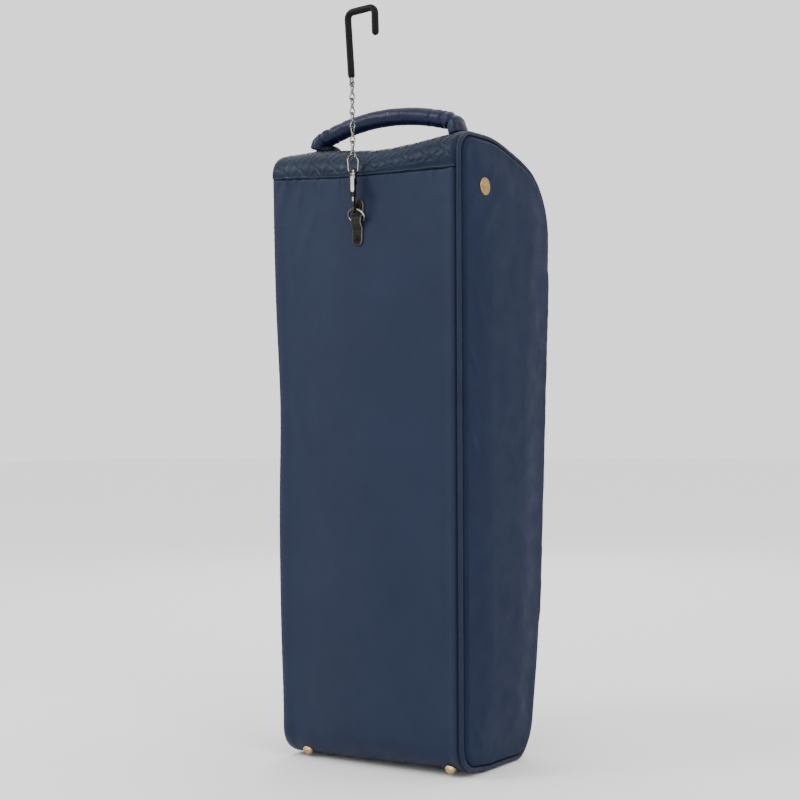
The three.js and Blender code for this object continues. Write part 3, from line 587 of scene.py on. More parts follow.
def shade(name, colour, other=None, rough=0.5, rough_swing=0.08, metal=0.0, mottle=18.0, bumps=(),
          sheen=0.0, coat=0.0, coat_rough=0.2, specular=0.5, wear_and_highlight=None, painted_reflection=None):
    """Procedural material.

    bumps: rows of (relief function, scale per metre, height mm). wear: (colour, amount) on raised edges,
    rubbing on some materials and a painted highlight on others.
    mirror: (flank, crest, rim) shares of the colour across a polished round, a painted reflection.
    """
    mat = bpy.data.materials.new(name)
    mat.use_nodes = True
    add = adder(mat.node_tree)
    coords = add("TexCoord", {}).outputs["Object"]
    blotch = add("TexNoise", {"Scale": mottle, "Detail": 5, "Roughness": 0.6, "Vector": coords})
    ramp = add("ValToRGB", {"Fac": blotch.outputs["Fac"]})
    other = other or tuple(min(1.0, c * 1.18) for c in colour)
    for stop, position, tone in zip(ramp.color_ramp.elements, (0.32, 0.68), (colour, other)):
        stop.position = position
        stop.color = (*tone, 1)
    base = ramp.outputs["Color"]
    # lighter raised edges: rubbing on some materials, a painted highlight on others
    if wear_and_highlight is not None:
        base = edge_wear_and_highlight(add, base, wear_and_highlight)
    # painted reflection: bright and dark bands across a polished round
    if painted_reflection is not None:
        base = painted_reflection_bands(add, base, painted_reflection)
    grime = add("TexNoise", {"Scale": mottle * 5, "Detail": 4, "Vector": coords})
    spread = add("MapRange", {
        "Value": grime.outputs["Fac"], "From Min": 0.3, "From Max": 0.7,
        "To Min": max(0.02, rough - rough_swing), "To Max": min(1.0, rough + rough_swing),
    })
    surface = {"Base Color": base, "Roughness": spread.outputs["Result"]}
    surface |= {"Metallic": metal, "Specular IOR Level": specular}
    for relief, scale, height in bumps:
        inputs = {"Strength": 1.0, "Distance": height * 0.001, "Height": relief(add, coords, scale)}
        if "Normal" in surface:
            inputs["Normal"] = surface["Normal"]
        surface["Normal"] = add("Bump", inputs).outputs["Normal"]
    if sheen:
        surface |= {"Sheen Weight": sheen, "Sheen Roughness": 0.45, "Sheen Tint": (0.62, 0.72, 1.0, 1)}
    if coat:
        surface |= {"Coat Weight": coat, "Coat Roughness": coat_rough}
    wire(mat.node_tree, mat.node_tree.nodes["Principled BSDF"], surface)
    return mat


NYLON = shade(
    "nylon_satin", (0.0086, 0.0146, 0.0355), (0.0110, 0.0180, 0.0415), rough=0.5, rough_swing=0.07,
    mottle=9, bumps=[(weave, 900, 0.012), (noise, 60, 0.35), (noise, 260, 0.06)], sheen=0.03,
    specular=0.15,
)
# Darker copy of the same nylon for the side panels, with less specular: painted shade.
NYLON_SHADED_SIDE = shade(
    "nylon_side_painted_shade", (0.0080, 0.0134, 0.0345), (0.0102, 0.0168, 0.0400), rough=0.5, rough_swing=0.07,
    mottle=9, bumps=[(weave, 900, 0.012), (noise, 60, 0.2), (noise, 260, 0.05)], specular=0.06,
)
# The lighter colour on the raised ribs of the embossing is partly rubbing and partly a painted highlight.
BAND = shade(
    "embossed_leather", (0.0052, 0.0115, 0.025), (0.0080, 0.0160, 0.033), rough=0.34, rough_swing=0.1,
    mottle=30, bumps=[(grain, 1300, 0.03), (noise, 500, 0.04)], specular=0.11,
    wear_and_highlight=((0.030, 0.048, 0.075), 0.85),
)
LEATHER = shade(
    "smooth_leather", (0.0042, 0.0074, 0.0265), (0.0062, 0.0102, 0.0345), rough=0.36, rough_swing=0.1,
    mottle=40, bumps=[(grain, 1600, 0.02), (noise, 180, 0.10)], coat=0.03, coat_rough=0.3,
    specular=0.18, wear_and_highlight=((0.016, 0.024, 0.054), 0.4),
)
PIPING = shade(
    "piping_cover", (0.0060, 0.0105, 0.027), (0.0082, 0.0140, 0.033), rough=0.5, mottle=40,
    bumps=[(weave, 900, 0.012), (noise, 220, 0.12)], sheen=0.03, specular=0.18,
)
THREAD = shade(
    "sewing_thread", (0.0045, 0.0085, 0.022), rough=0.55, mottle=300, bumps=[(noise, 2500, 0.04)],
    sheen=0.05, specular=0.25,
)
LINING = shade(
    "woven_lining", (0.012, 0.018, 0.035), (0.016, 0.024, 0.045), rough=0.75, mottle=14,
    bumps=[(weave, 700, 0.02), (noise, 50, 0.5)], sheen=0.2,
)
TAPE_M = shade(
    "zip_tape", (0.0045, 0.0065, 0.015), rough=0.8, mottle=60, bumps=[(weave, 1400, 0.05)], sheen=0.05,
    specular=0.2,
)
COIL = shade("zip_teeth", (0.0045, 0.0065, 0.014), rough=0.36, mottle=200, bumps=[(noise, 900, 0.02)])
WEBBING = shade(
    "black_webbing", (0.008, 0.008, 0.009), rough=0.7, mottle=60, bumps=[(weave, 1100, 0.08)],
    sheen=0.05, specular=0.2,
)
# Gold, steel, nickel and gunmetal below get a painted reflection: bright and dark bands across each round,
# from their (flank, crest, rim) shares.
GOLD = shade(
    "gold_plate", (0.90, 0.56, 0.24), (1.0, 0.72, 0.38), rough=0.25, rough_swing=0.09, metal=1.0,
    mottle=120, bumps=[(noise, 900, 0.012)], painted_reflection=(0.55, 1.0, 0.8),
)
# Darker copy of the gold for the side caps: painted shade for their ring grooves, with lighter raised edges
# as a painted highlight.
SHADED_CAP_GOLD = shade(
    "struck_gold_painted_shade", (0.44, 0.28, 0.10), (0.66, 0.44, 0.18), rough=0.3, rough_swing=0.1, metal=1.0,
    mottle=240, bumps=[(noise, 1500, 0.05)], painted_reflection=(0.6, 1.0, 0.8), wear_and_highlight=((0.9, 0.66, 0.34), 0.8),
)
STEEL = shade(
    "zinc_steel", (0.50, 0.49, 0.47), (0.66, 0.64, 0.62), rough=0.26, rough_swing=0.1, metal=1.0,
    mottle=150, bumps=[(noise, 1100, 0.02)], painted_reflection=(0.18, 0.9, 0.4),
)
NICKEL = shade(
    "polished_nickel", (0.62, 0.60, 0.57), (0.84, 0.82, 0.79), rough=0.16, rough_swing=0.06, metal=1.0,
    mottle=150, bumps=[(brushed, 1500, 0.012)], painted_reflection=(0.12, 0.95, 0.3),
)
GUNMETAL = shade(
    "gunmetal_cast", (0.020, 0.020, 0.022), (0.045, 0.045, 0.048), rough=0.3, rough_swing=0.08, metal=0.9,
    mottle=160, bumps=[(noise, 800, 0.03)], wear_and_highlight=((0.40, 0.39, 0.37), 0.6), painted_reflection=(0.35, 1.0, 0.5),
)
PAINT = shade(
    "black_paint", (0.0034, 0.0034, 0.0031), (0.0062, 0.0060, 0.0054), rough=0.42, rough_swing=0.1,
    mottle=200, bumps=[(noise, 1500, 0.03)], specular=0.08, wear_and_highlight=((0.10, 0.095, 0.08), 0.25),
)
BARE = shade(
    "bare_edge", (0.15, 0.14, 0.125), (0.24, 0.22, 0.20), rough=0.42, metal=0.8, mottle=260,
    bumps=[(noise, 1500, 0.03)],
)
PVC = shade(
    "black_dip_coat", (0.0028, 0.0028, 0.0030), (0.0045, 0.0045, 0.0048), rough=0.45, rough_swing=0.08,
    mottle=90, bumps=[(noise, 700, 0.06), (noise, 120, 0.2)], coat=0.02, specular=0.1,
)
BOARD = shade(
    "stiffening_board", (0.045, 0.045, 0.048), (0.07, 0.068, 0.066), rough=0.85, mottle=60,
    bumps=[(noise, 400, 0.15)],
)
TONGUE = shade(
    "black_leather", (0.0020, 0.0026, 0.0045), (0.0036, 0.0044, 0.0075), rough=0.5, mottle=60,
    bumps=[(grain, 1500, 0.02)], specular=0.07,
)
FOAM = shade(
    "foam_cord", (0.20, 0.20, 0.19), (0.27, 0.26, 0.24), rough=0.95, mottle=300,
    bumps=[(grain, 900, 0.3)],
)


# ---- pieces ----
def piece(name, parts, look, body, slot, nodes=(), sharp=38.0, warp=False, looks=None):
    """Makes a mesh piece from parts, ties it to its body unless that is the handle, and hides the CAD nodes
    it stands for; slot is not used.
    """
    verts, faces, marks, base = [], [], [], 0
    for i, (v, f) in enumerate(parts):
        verts.append(np.asarray(v, float))
        faces.extend(tuple(k + base for k in face) for face in f)
        marks.extend([0 if looks is None else looks[i]] * len(f))
        base += len(v)
    verts = np.concatenate(verts)
    if warp:
        verts = body_shape(verts)
    verts = (verts - np.array([0, CENTRE_DEPTH, 0])) * 0.001
    mesh = bpy.data.meshes.new(name)
    mesh.from_pydata(verts.tolist(), [], faces)
    mesh.polygons.foreach_set("use_smooth", [True] * len(faces))
    mesh.polygons.foreach_set("material_index", marks)
    mesh.update()
    mesh.set_sharp_from_angle(angle=math.radians(sharp))
    for one in look if isinstance(look, (list, tuple)) else [look]:
        mesh.materials.append(one)
    obj = bpy.data.objects.new(name, mesh)
    bpy.context.scene.collection.objects.link(obj)
    if body == "handle":  # the handle's feet are sewn to the bag; its pieces get no body and keep their placement in the mesh
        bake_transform(obj)
    else:
        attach(obj, body)
    if nodes:
        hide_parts(*nodes)
    return obj


def sewn(name, parts, look, nodes=(), body="bag", slot="cloth", **more):
    """A piece that follows the taper and the sag of the soft body."""
    return piece(name, parts, look, body, slot, nodes, warp=True, **more)


def dress(node, look):
    """Gives a kept CAD node a finished material."""
    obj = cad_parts[node]
    if not obj.data.materials:
        obj.data.materials.append(look)
    for entry in obj.material_slots:
        entry.material = look


# ---- cloth reliefs ----
SWAY, FINE = Field(3), Field(8)


def gathers(count, u_low, u_high, v_seam, direction, length, width, height, slant=0.15, seed=1):
    """Short random folds that start at a seam: rows for crease_field."""
    rng = np.random.default_rng(seed)
    rows = []
    for u in np.sort(rng.uniform(u_low, u_high, count)):
        reach = rng.uniform(*length)
        u_end = u + rng.normal(0, slant) * reach
        broad, high = rng.uniform(*width), rng.uniform(*height)
        rows.append((u, v_seam, u_end, v_seam + direction * reach, broad, high, True))
    return rows


FRONT_CREASES = (
    gathers(34, -122, 122, BAND_Z, -1, (12, 42), (1.6, 3.4), (0.25, 0.75), 0.2, 5)
    + gathers(9, -122, -82, BAND_Z, -1, (26, 70), (2.2, 4.2), (0.6, 1.2), 0.28, 6)
    + [
        (-22, 667, -20, 628, 2.6, 1.0, True),
        (10, 667, 12, 632, 2.2, 0.9, True),
        (36, 667, 33, 640, 2.4, 0.7, True),
        (-60, 640, -95, 560, 6.0, 0.9, False),
        (-110, 610, -96, 520, 5.0, 0.8, False),
        (60, 600, 100, 500, 7.0, 0.6, False),
        (-70, 330, 20, 300, 9.0, 0.7, False),
        (-114, 430, -84, 350, 6.0, 1.0, False),
        (90, 230, 112, 150, 6.0, 0.6, False),
    ]
)


def edge_puckers(side, count=62):
    """Small folds along the side edge of the hook face."""
    def draws(seed, low, high):
        return np.random.default_rng(seed + side).uniform(low, high, count)

    heights = np.cumsum(draws(30, 5, 13)) + 60
    rows = zip(heights, draws(40, 7, 20), draws(50, -9, 9), draws(60, 1.4, 2.6), draws(70, 0.12, 0.5))
    return [(side * WRAP_X, z, side * (WRAP_X - r), z + lean, w, h, True) for z, r, lean, w, h in rows]


EDGE_PUCKERS = edge_puckers(-1) + edge_puckers(1)


def seam_roll(edge, fall=2.6, width=2.2, swell=0.7, x=None):
    """Cloth swells a little beside a seam and falls into it; both are weaker on the left where x is given."""
    left = 0 if x is None else smooth(-x / 20)
    roll = swell * (1 - 0.5 * left) * bell(edge - 6.5, 4.5)
    return roll - fall * (1 - 0.75 * left) * bell(edge, width)


def front_relief(x, s, p):
    """Hook face: soft waves and folds that leave the strap flat, rolled seams and a dip below the band."""
    z = p[..., 1]
    edge = WRAP_X - np.abs(x)
    calm = smooth(edge / 22)
    wave = 1.15 * SWAY(x / 105 + 3, z / 150 + 1, 2) + 0.4 * FINE(x / 38, z / 52, 2)
    wave += 0.16 * FINE(x / 13 + 40, z / 17 + 9, 2)
    folds = crease_field(x, z, FRONT_CREASES + EDGE_PUCKERS)
    strap = np.hypot(x, np.maximum(0, np.abs(z - 609) - 26))
    rest = 1 - bell(strap, 17)
    lift = (wave * calm + folds) * rest * smooth((z - 8) / 25 + 0.3)
    lift = lift + seam_roll(edge, 3.2, 2.3, 1.3, x)
    below = np.maximum(0, S_BAND + hem_line(x) - s)
    lift -= 1.9 * bell(np.maximum(0, below - 3.2), 1.5)
    lift -= 0.5 * bell(np.hypot(x, z - 645), 14)
    return lift


BAND_PITCH = 17.5


def hem_line(x):
    """How far the lower edge of the band rides up above its straight line."""
    left = np.clip(-x / 120.0, 0, 1.1)
    right_side = np.clip(x / 120.0, 0, 1.1)
    return 7.5 * left**1.6 - 3.6 * right_side


def band_relief(x, s, p):
    """Generic embossing: a herringbone of ribs between diagonal lines."""
    t = s - S_BAND
    edge = WRAP_X - np.abs(x)
    a = (x + t) / math.sqrt(2) + 1.2 * FINE(x / 34 + 7, t / 34 + 2, 2)
    b = (x - t) / math.sqrt(2) + 0.8 * FINE(x / 26 + 17, t / 26, 1)
    strip = np.floor(a / BAND_PITCH)
    u = a / BAND_PITCH - strip
    groove = bell(np.minimum(u, 1 - u) * BAND_PITCH, 0.8)
    lean = 0.5 + 0.5 * np.sin(strip * 2.4)
    phase = (b + (1.6 + 1.6 * lean) * np.sin(math.pi * u) + 3.1 * strip) / 7.6
    rib = bell((phase - np.round(phase)) * 7.6, 0.95)
    reach = smooth((u - 0.04) / 0.12) * smooth((0.96 - u) / 0.16)
    reach = reach * (0.55 + 0.45 * FINE(phase.round() * 1.7, strip * 3.1, 1))
    cross = (b - 0.22 * a) / 46
    slash = bell(np.abs(cross - np.round(cross)) * 46, 0.8) * (x > 60)
    lift = 0.6 * rib * reach - 0.55 * groove - 0.5 * slash
    lift += 0.8 * SWAY(x / 60, t / 60, 2) * smooth(edge / 12)
    lift = lift * smooth(edge / 5) * smooth((t - 1.0) / 4)
    lift += seam_roll(edge, 2.6, 2.0, 0.4, x)
    return lift + 0.5 * (smooth(t / 2.2) * smooth((S_REAR - s) / 2.2) - 1)


def rear_relief(x, s, p):
    """Frame round the zip."""
    z = p[..., 1]
    edge = WRAP_X - np.abs(x)
    wave = 1.0 * SWAY(x / 90 + 13, s / 110 + 21, 2) + 0.3 * FINE(x / 30 + 5, s / 38 + 3, 2)
    return wave * smooth(edge / 20) + seam_roll(edge)


FLAP_X = ZIP_X - 4.0
FLAP_TOP = S_DOOR + 5


def flap_relief(x, s, p):
    """Door flap: waves and folds, calm at its hinge, with edges that turn in."""
    z = p[..., 1]
    edge = FLAP_X - np.abs(x)
    hem = np.minimum(edge, s - FLAP_TOP)
    wave = 1.3 * SWAY(x / 95 + 33, z / 130 + 11, 2) + 0.4 * FINE(x / 30 + 15, z / 42 + 23, 2)
    folds = crease_field(x, z, FLAP_CREASES)
    return (wave * smooth(hem / 18) + folds) * smooth((z - HINGE_Z) / 12) - 0.9 * bell(hem, 1.2)


FLAP_CREASES = (
    gathers(26, -100, 100, DOOR_Z - 8, -1, (10, 34), (1.8, 3.2), (0.2, 0.5), 0.2, 15)
    + gathers(20, -100, 100, HINGE_Z, 1, (14, 40), (2.2, 4.0), (0.3, 0.7), 0.3, 16)
    + [(-60, 420, 10, 360, 8.0, 0.8, False), (30, 560, 84, 470, 8.0, 0.7, False)]
)


def base_relief(x, s, p):
    """Underside, flat round the feet."""
    edge = WRAP_X - np.abs(x)
    wave = 0.8 * SWAY(x / 70 + 53, s / 70 + 41, 2) + 0.3 * FINE(x / 25 + 5, s / 25 + 63, 2)
    feet = np.minimum(np.hypot(np.abs(x) - 102, p[..., 0] - 22), np.hypot(np.abs(x) - 102, p[..., 0] - 133))
    return wave * smooth(edge / 18) * smooth(feet / 14) * 0.8 + seam_roll(edge)


def sheet_part(xs, runs, depth, thick, relief, keep=None, shift=None):
    """Closed sheet on the wrap-round face, from depth inwards."""
    return shell(*(wrapped(xs, runs, d, relief, shift) for d in (depth, depth + thick)), keep)


def masked(xs, runs, rule, depth, thick, relief=None):
    """Sheet of only the cells for which rule(x, s) holds; xs and runs are groups of grid lines."""
    xs, runs = lines(*xs), lines(*runs)
    keep = rule(*np.meshgrid((xs[1:] + xs[:-1]) / 2, (runs[1:] + runs[:-1]) / 2))
    return sheet_part(xs, runs, depth, thick, relief, keep)


EDGE_XS = WRAP_X - np.array([0, 0.7, 1.5, 2.4, 3.4, 4.6, 6.0])  # closer together where the sheet turns in
FABRIC_XS = lines(-EDGE_XS, span(-(WRAP_X - 7.6), WRAP_X - 7.6, 1.9), EDGE_XS, digits=4)
LEATHER_XS = lines(-EDGE_XS, span(-(WRAP_X - 7.2), WRAP_X - 7.2, 0.8), EDGE_XS, digits=4)


def front_shift(x, s):
    """The upper edge of the hook face follows the hem of the band."""
    return hem_line(x) * smooth((s - S_BAND + 70) / 70)


def hem_shift(x, s):
    """The lower edge of the band hangs over a little and is slightly frayed."""
    low = 1 - smooth((s - S_BAND) / 6)
    fray = low * (-2.6 + 0.7 * FINE(x / 9, s * 0, 2) + 0.5 * FINE(x / 40 + 9, s * 0, 1))
    return fray + hem_line(x) * (1 - smooth((s - S_BAND) / 34))


front = sheet_part(FABRIC_XS, span(S_BASE, S_BAND, 1.9), SKIN, 1.5, front_relief, shift=front_shift)
front_panel = sewn("back_panel_cloth", [front], NYLON, ["back_panel"])
band = sheet_part(LEATHER_XS, span(S_BAND, S_REAR, 1.15), SKIN - 1.1, 1.4, band_relief, shift=hem_shift)
band_panel = sewn("top_band_leather", [band], BAND, ["top_band"], slot="leather")

# the door side: a frame round the zip, and the flap
FRAME_X = ZIP_X + 4.0
surround = masked(
    [FABRIC_XS, [-FRAME_X, FRAME_X]],
    [span(S_REAR, S_DOOR - 3, 2.2), span(S_DOOR - 3, S_HINGE, 2.2)],
    lambda x, s: (np.abs(x) >= FRAME_X) | (s <= S_DOOR - 3), SKIN, 1.5, rear_relief,
)
door_surround = sewn("door_frame_cloth", [surround], NYLON, ["door_frame"])
NOTCH_X, S_NOTCH = 102.8, rear_run(SLIDER_Z + 8.6)  # room for the parked slider


def off_notch(x, s):
    """True outside the notch."""
    return (x <= NOTCH_X) | (s <= S_NOTCH)


flap = masked(
    [span(-FLAP_X, FLAP_X, 2.0), [NOTCH_X]],
    [span(FLAP_TOP, S_NOTCH, 2.2), span(S_NOTCH, S_HINGE - 0.6, 2.2)],
    off_notch, SKIN, 1.5, flap_relief,
)
flap_panel = sewn("front_flap_cloth", [flap], NYLON, ["front_flap"], "flap")
past_start = ROUND + span(0.1, S_BASE - 0.5, 2.6)
base_runs = np.concatenate([span(S_HINGE + 0.3, ROUND - 0.1, 2.6), past_start - ROUND])
base = sheet_part(FABRIC_XS, base_runs, SKIN, 1.5, base_relief)
bottom = sewn("bottom_panel_cloth", [base], NYLON, ["bottom_panel"])

# ---- side panels ----
MEDIAL_LOW, MEDIAL_HIGH = 95.0, 600.0


def medial(z):
    """Middle line of a side panel, where its rings end."""
    zc = np.clip(z, MEDIAL_LOW, MEDIAL_HIGH)
    rear = 173 + (zc - 150) * 33 / 505
    return np.stack([rear * 0.49, zc], -1)


def side_relief(d, z, u, s, side):
    """Side panel: waves, puckers along its seam (u is the distance from it), and a dent round the cap."""
    seed = 90 if side < 0 else 91
    wave = 0.8 * SWAY(d / 95 + seed, z / 160, 2) + 0.2 * FINE(d / 32 + seed, z / 48 + 7, 2)
    wave = wave + 0.08 * FINE(d / 12 + seed, z / 15 + 5, 2)
    pucker = 0.55 * FINE(s / 7.5 + seed, u * 0 + 3, 2) * np.exp(-u / 5.5) * smooth(u / 1.5)
    pucker = pucker + 0.5 * FINE(s / 16 + seed, u / 22 + 9, 2) * np.exp(-u / 13) * smooth(u / 3)
    cap = np.hypot(d - CAP_DEPTH, z - CAP_Z)
    dent = -1.6 * bell(cap, 17) - 1.2 * bell(np.hypot(d - 22, z - 672), 9)
    calm = smooth((cap - 9) / 10)
    return (wave * smooth(u / 16) + crease_field(d, z, SIDE_CREASES)) * calm + pucker + dent


SIDE_CREASES = [
    (84, 644, 13, 566, 7.0, 1.3, False),
    (70, 668, 56, 650, 3.0, 0.9, False),
    (34, 634, 14, 622, 3.2, 0.8, False),
    (22, 540, 46, 470, 5.0, 0.5, False),
    (10, 470, 34, 430, 4.0, 0.7, False),
    (12, 380, 30, 340, 4.0, 0.7, False),
    (120, 560, 170, 520, 6.0, 0.4, False),
    (150, 480, 190, 455, 5.0, 0.3, False),
    (140, 330, 176, 300, 6.0, 0.3, False),
    (60, 250, 20, 200, 7.0, 0.4, False),
    (110, 140, 60, 80, 8.0, 0.4, False),
    (140, 90, 100, 40, 6.0, 0.3, False),
    (16, 60, 40, 28, 4.0, 0.8, False),
]


def side_grid(side, sink):
    """Rings of a side panel from its seam inwards: a low dome that rolls over the piping on the door side."""
    runs = np.linspace(0, ROUND, 720, endpoint=False)
    p, n, _ = at_run(runs)
    base = p - n * 5.6
    d, z = base.T
    target = medial(z)
    gap = np.linalg.norm(target - base, axis=1)
    over = smooth((d - 110) / 40) * smooth((z - 130) / 40) * (1 - smooth((z - 545) / 40))
    rows, steps = [], 46
    for k in range(steps + 1):
        v = (k / steps) ** 1.75
        u = gap * v
        roll = over * 6.6 * (u / 4) * np.exp(1 - u / 4) * (u < 40)
        q = base + (target - base) * v + n * roll[:, None]
        r = np.clip(u / 6.5, 0, 1)
        rise = 7.4 * np.sqrt(np.clip(1 - (1 - r) ** 2, 0, 1))
        rise = rise + 3.6 * smooth(u / 55) * np.clip(gap / 60, 0.4, 1)
        rise = rise + side_relief(q[:, 0], q[:, 1], u, runs, side)
        rows.append(np.stack([side * (BAG_WIDTH / 2 - 4.5 + rise - sink), q[:, 0], q[:, 1]], -1))
    return np.array(rows)


def weld(obj, distance=0.00005):
    """Joins the points that meet on the middle line."""
    bm = bmesh.new()
    bm.from_mesh(obj.data)
    bmesh.ops.remove_doubles(bm, verts=bm.verts, dist=distance)
    bmesh.ops.recalc_face_normals(bm, faces=bm.faces)
    bm.to_mesh(obj.data)
    bm.free()


def piping_part(side):
    """Rolled cover with slight puckers; on the left it lies further in, under the lapping hook face."""
    runs = np.linspace(0, ROUND, 760, endpoint=False)
    puck = 0.10 * FINE(runs / 5.0 + side, runs * 0, 2) + 0.10 * FINE(runs / 31 + side, runs * 0, 1)
    back_off = 2.8 * lap_zone(runs) if side < 0 else 0 * runs
    path, _ = seat(side * (BAG_WIDTH / 2 - PIPING_R), runs, -(PIPING_R - 0.15 + back_off))
    return tube(path, PIPING_R + puck, 14, closed=True, up=(1, 0, 0))


def piping_thread(side):
    """Thread rows that hold the piping: one on the wrap-round face, one on the side panel."""
    runs = np.arange(2, ROUND - 2, 3.4)
    shown = (lap_zone(runs) <= 0.02) | (side > 0)
    rows = []
    for x, lift, sideways, outwards, used in (
        (WRAP_X - 3.0, -(SKIN + 0.2), 0.35, 1.0, shown),
        (BAG_WIDTH / 2 - 2.4, -5.9, 1.0, 0.3, shown | True),
    ):
        centre, facing = seat(side * x, runs, lift)
        facing = facing * outwards + (side * sideways, 0, 0)
        rows.append(stitches(centre[used], heading(runs)[used], facing[used], 2.4, 0.45, 0.0))
    return rows


sides = {}
for label, side in SIDES:
    part = ring_shell(side_grid(side, 0.0), side_grid(side, 1.6))
    sides[side] = sewn(f"side_panel_{label}_cloth", [part], NYLON_SHADED_SIDE, [f"side_panel_{label}"])
    weld(sides[side])
    sewn(f"piping_{label}_roll", [piping_part(side)], PIPING, [f"piping_{label}"], slot="leather")
    sewn(f"piping_{label}_stitching", piping_thread(side), THREAD)

# ---- side caps: plain concentric rings instead of the mark in the photo ----
CAP_PROFILE = rounded([
    (0, -4.4), (1.9, -4.4), (1.9, 0.1), (9.4, 0.1), (10, 0.6), (10, 1.2), (9.2, 2.0), (8.2, 2.3),
    (7.6, 2.0), (7.0, 1.9), (6.5, 2.3), (5.8, 2.4), (5.4, 2.05), (4.9, 2.1), (4.4, 2.6), (3.4, 2.7),
    (3.1, 2.4), (2.4, 2.5), (1.8, 2.95), (0.9, 3.05), (0, 3.0),
], 0.25)
for label, side in SIDES:
    place = (side * (BAG_WIDTH / 2 - 4.5 + 8.2) * 0.9960, CAP_DEPTH, CAP_Z)
    turned = lathe(CAP_PROFILE, place, (side, 0, 0), 56)
    piece(f"side_cap_{label}_turned", [turned], SHADED_CAP_GOLD, "bag", "gold", [f"side_cap_{label}"], sharp=50)
    dress(f"side_cap_washer_{label}", STEEL)

# ---- feet ----
FOOT_X, FOOT_R = 102, 6.5
foot_profile = rounded([(0, -4.0), (1.5, -4.0), (1.5, 0.2), (6.3, 0.2), (6.6, 0.8), (FOOT_R, 1.4)], 0.25)
for k in range(1, 13):
    a = k / 12 * math.pi / 2
    foot_profile.append((FOOT_R * math.cos(a) if k < 12 else 0, 1.4 + 5.6 * math.sin(a)))
for end, depth, low, high, shift in (("hook", 14.5, 0, 100, 3), ("door", 137.0, ROUND - 110, ROUND, 0)):
    p, n, _ = at_run(run_where(0, depth, low, high))
    for label, side in SIDES:
        place = (side * FOOT_X * BASE_SHARE + shift, *(p - n * SKIN))
        v, f = lathe(foot_profile, place, (0, *n), 40)
        v[:, 2] = np.maximum(v[:, 2], 0.0)
        piece(f"foot_{end}_{label}_dome", [(v, f)], GOLD, "bag", "gold", [f"foot_{end}_{label}"], sharp=50)
        dress(f"foot_washer_{end}_{label}", STEEL)

# ---- zip ----
COIL_OUT_EDGE, COIL_IN_EDGE = ZIP_X + 1, ZIP_X - 1
TAPE_OUT_EDGE, TAPE_IN_EDGE = COIL_OUT_EDGE + TAPE, COIL_IN_EDGE - TAPE
S_FOOT = S_HINGE - 6
INNER_TOP = S_DOOR + 2
INNER_LOW = INNER_TOP + TAPE


def teeth(x_line, s_top, x_corner, offset, right_foot):
    """Zip teeth up both sides and across the top of the opening."""
    pitch, size = 1.9, (3.3, 0.62, 0.0)
    rows = []
    for side, foot in ((-1, S_FOOT), (1, right_foot)):
        runs = np.arange(s_top + 1.0 + offset, foot, pitch)
        centre, facing = seat(side * x_line, runs, -1.9, 1)
        rows.append(stitches(centre, np.tile([1.0, 0, 0], (len(runs), 1)), facing, *size))
    xs = np.arange(-x_corner + 1 + offset, x_corner - 1, pitch)
    centre, facing = seat(xs, s_top, -1.9, 1)
    return rows + [stitches(centre, heading(np.full(len(xs), s_top)), facing, *size)]


def woven(name, tape, rows, body):
    """Tape with its three rows of teeth."""
    sewn(name + "_woven", [tape] + rows, [TAPE_M, COIL], [name], body, "tape", looks=[0, 1, 1, 1])


outer_tape = masked(
    [span(-TAPE_OUT_EDGE, TAPE_OUT_EDGE, 2.5), [-COIL_OUT_EDGE, COIL_OUT_EDGE]],
    [span(S_DOOR - TAPE, S_DOOR, 2.0), span(S_DOOR, S_FOOT, 3.0)],
    lambda x, s: (np.abs(x) >= COIL_OUT_EDGE) | (s <= S_DOOR), 3.4, 1.0,
)
woven("zip_tape_outer", outer_tape, teeth(COIL_OUT_EDGE + 0.4, S_DOOR - 0.6, ZIP_X, 0.0, S_FOOT), "bag")
inner_tape = masked(
    [span(-COIL_IN_EDGE, COIL_IN_EDGE, 2.5), [-TAPE_IN_EDGE, TAPE_IN_EDGE, NOTCH_X]],
    [span(INNER_TOP, INNER_LOW, 2.0), span(INNER_LOW, S_NOTCH, 3.0), span(S_NOTCH, S_FOOT, 3.0)],
    lambda x, s: ((np.abs(x) > TAPE_IN_EDGE) | (s < INNER_LOW)) & off_notch(x, s), 3.4, 1.0,
)
inner_teeth = teeth(COIL_IN_EDGE - 0.4, INNER_TOP + 0.6, COIL_IN_EDGE, 0.95, S_NOTCH)
woven("zip_tape_inner", inner_tape, inner_teeth, "flap")

park, park_n, _ = at_run(rear_run(SLIDER_Z))
park_up = np.array([-park_n[1], park_n[0]])
SLIDER_X = ZIP_X * (BASE_SHARE + (1 - BASE_SHARE) * SLIDER_Z / TAPER_Z)


def slider_frame(v):
    """Local x, outwards, along the zip to place."""
    v = np.asarray(v, float)
    q = park + v[..., 1, None] * park_n + v[..., 2, None] * park_up
    return np.stack([SLIDER_X + v[..., 0], q[..., 0], q[..., 1]], -1)


def slab(outline, low, high, bevel=0.35):
    """Flat plate with eased edges: outline of (x, along) points, between two heights outwards."""
    outline = np.asarray(outline, float)
    centre = outline.mean(0)
    n = len(outline)
    verts = []
    for share, h in ((-bevel, low), (0, low + bevel), (0, high - bevel), (-bevel, high)):
        arm = outline - centre
        shrunk = outline + arm / np.linalg.norm(arm, axis=1, keepdims=True) * share
        verts.extend((x, h, a) for x, a in shrunk)
    ends = [tuple(range(n)), tuple(reversed(range(3 * n, 4 * n)))]
    return np.array(verts), ring_faces(4, n) + ends


def placed_part(part, place):
    """A part with its points moved by a function."""
    v, f = part
    return orient(place(np.asarray(v, float)), f)


def pill(width, length, centre=(0, 0), steps=9):
    """Outline with two straight sides and round ends."""
    r, (x0, y0) = width / 2, centre
    turn = np.linspace(0, math.pi, steps)
    pts = [(x0 + r * math.cos(a), y0 + length / 2 - r + r * math.sin(a)) for a in turn]
    return pts + [(x0 - (x - x0), y0 - (y - y0)) for x, y in pts]


def gunmetal(name, parts, body):
    """Cast piece at the parked slider."""
    parts = [placed_part(part, slider_frame) for part in parts]
    piece(f"{name}_cast", parts, GUNMETAL, body, "gunmetal", [name])


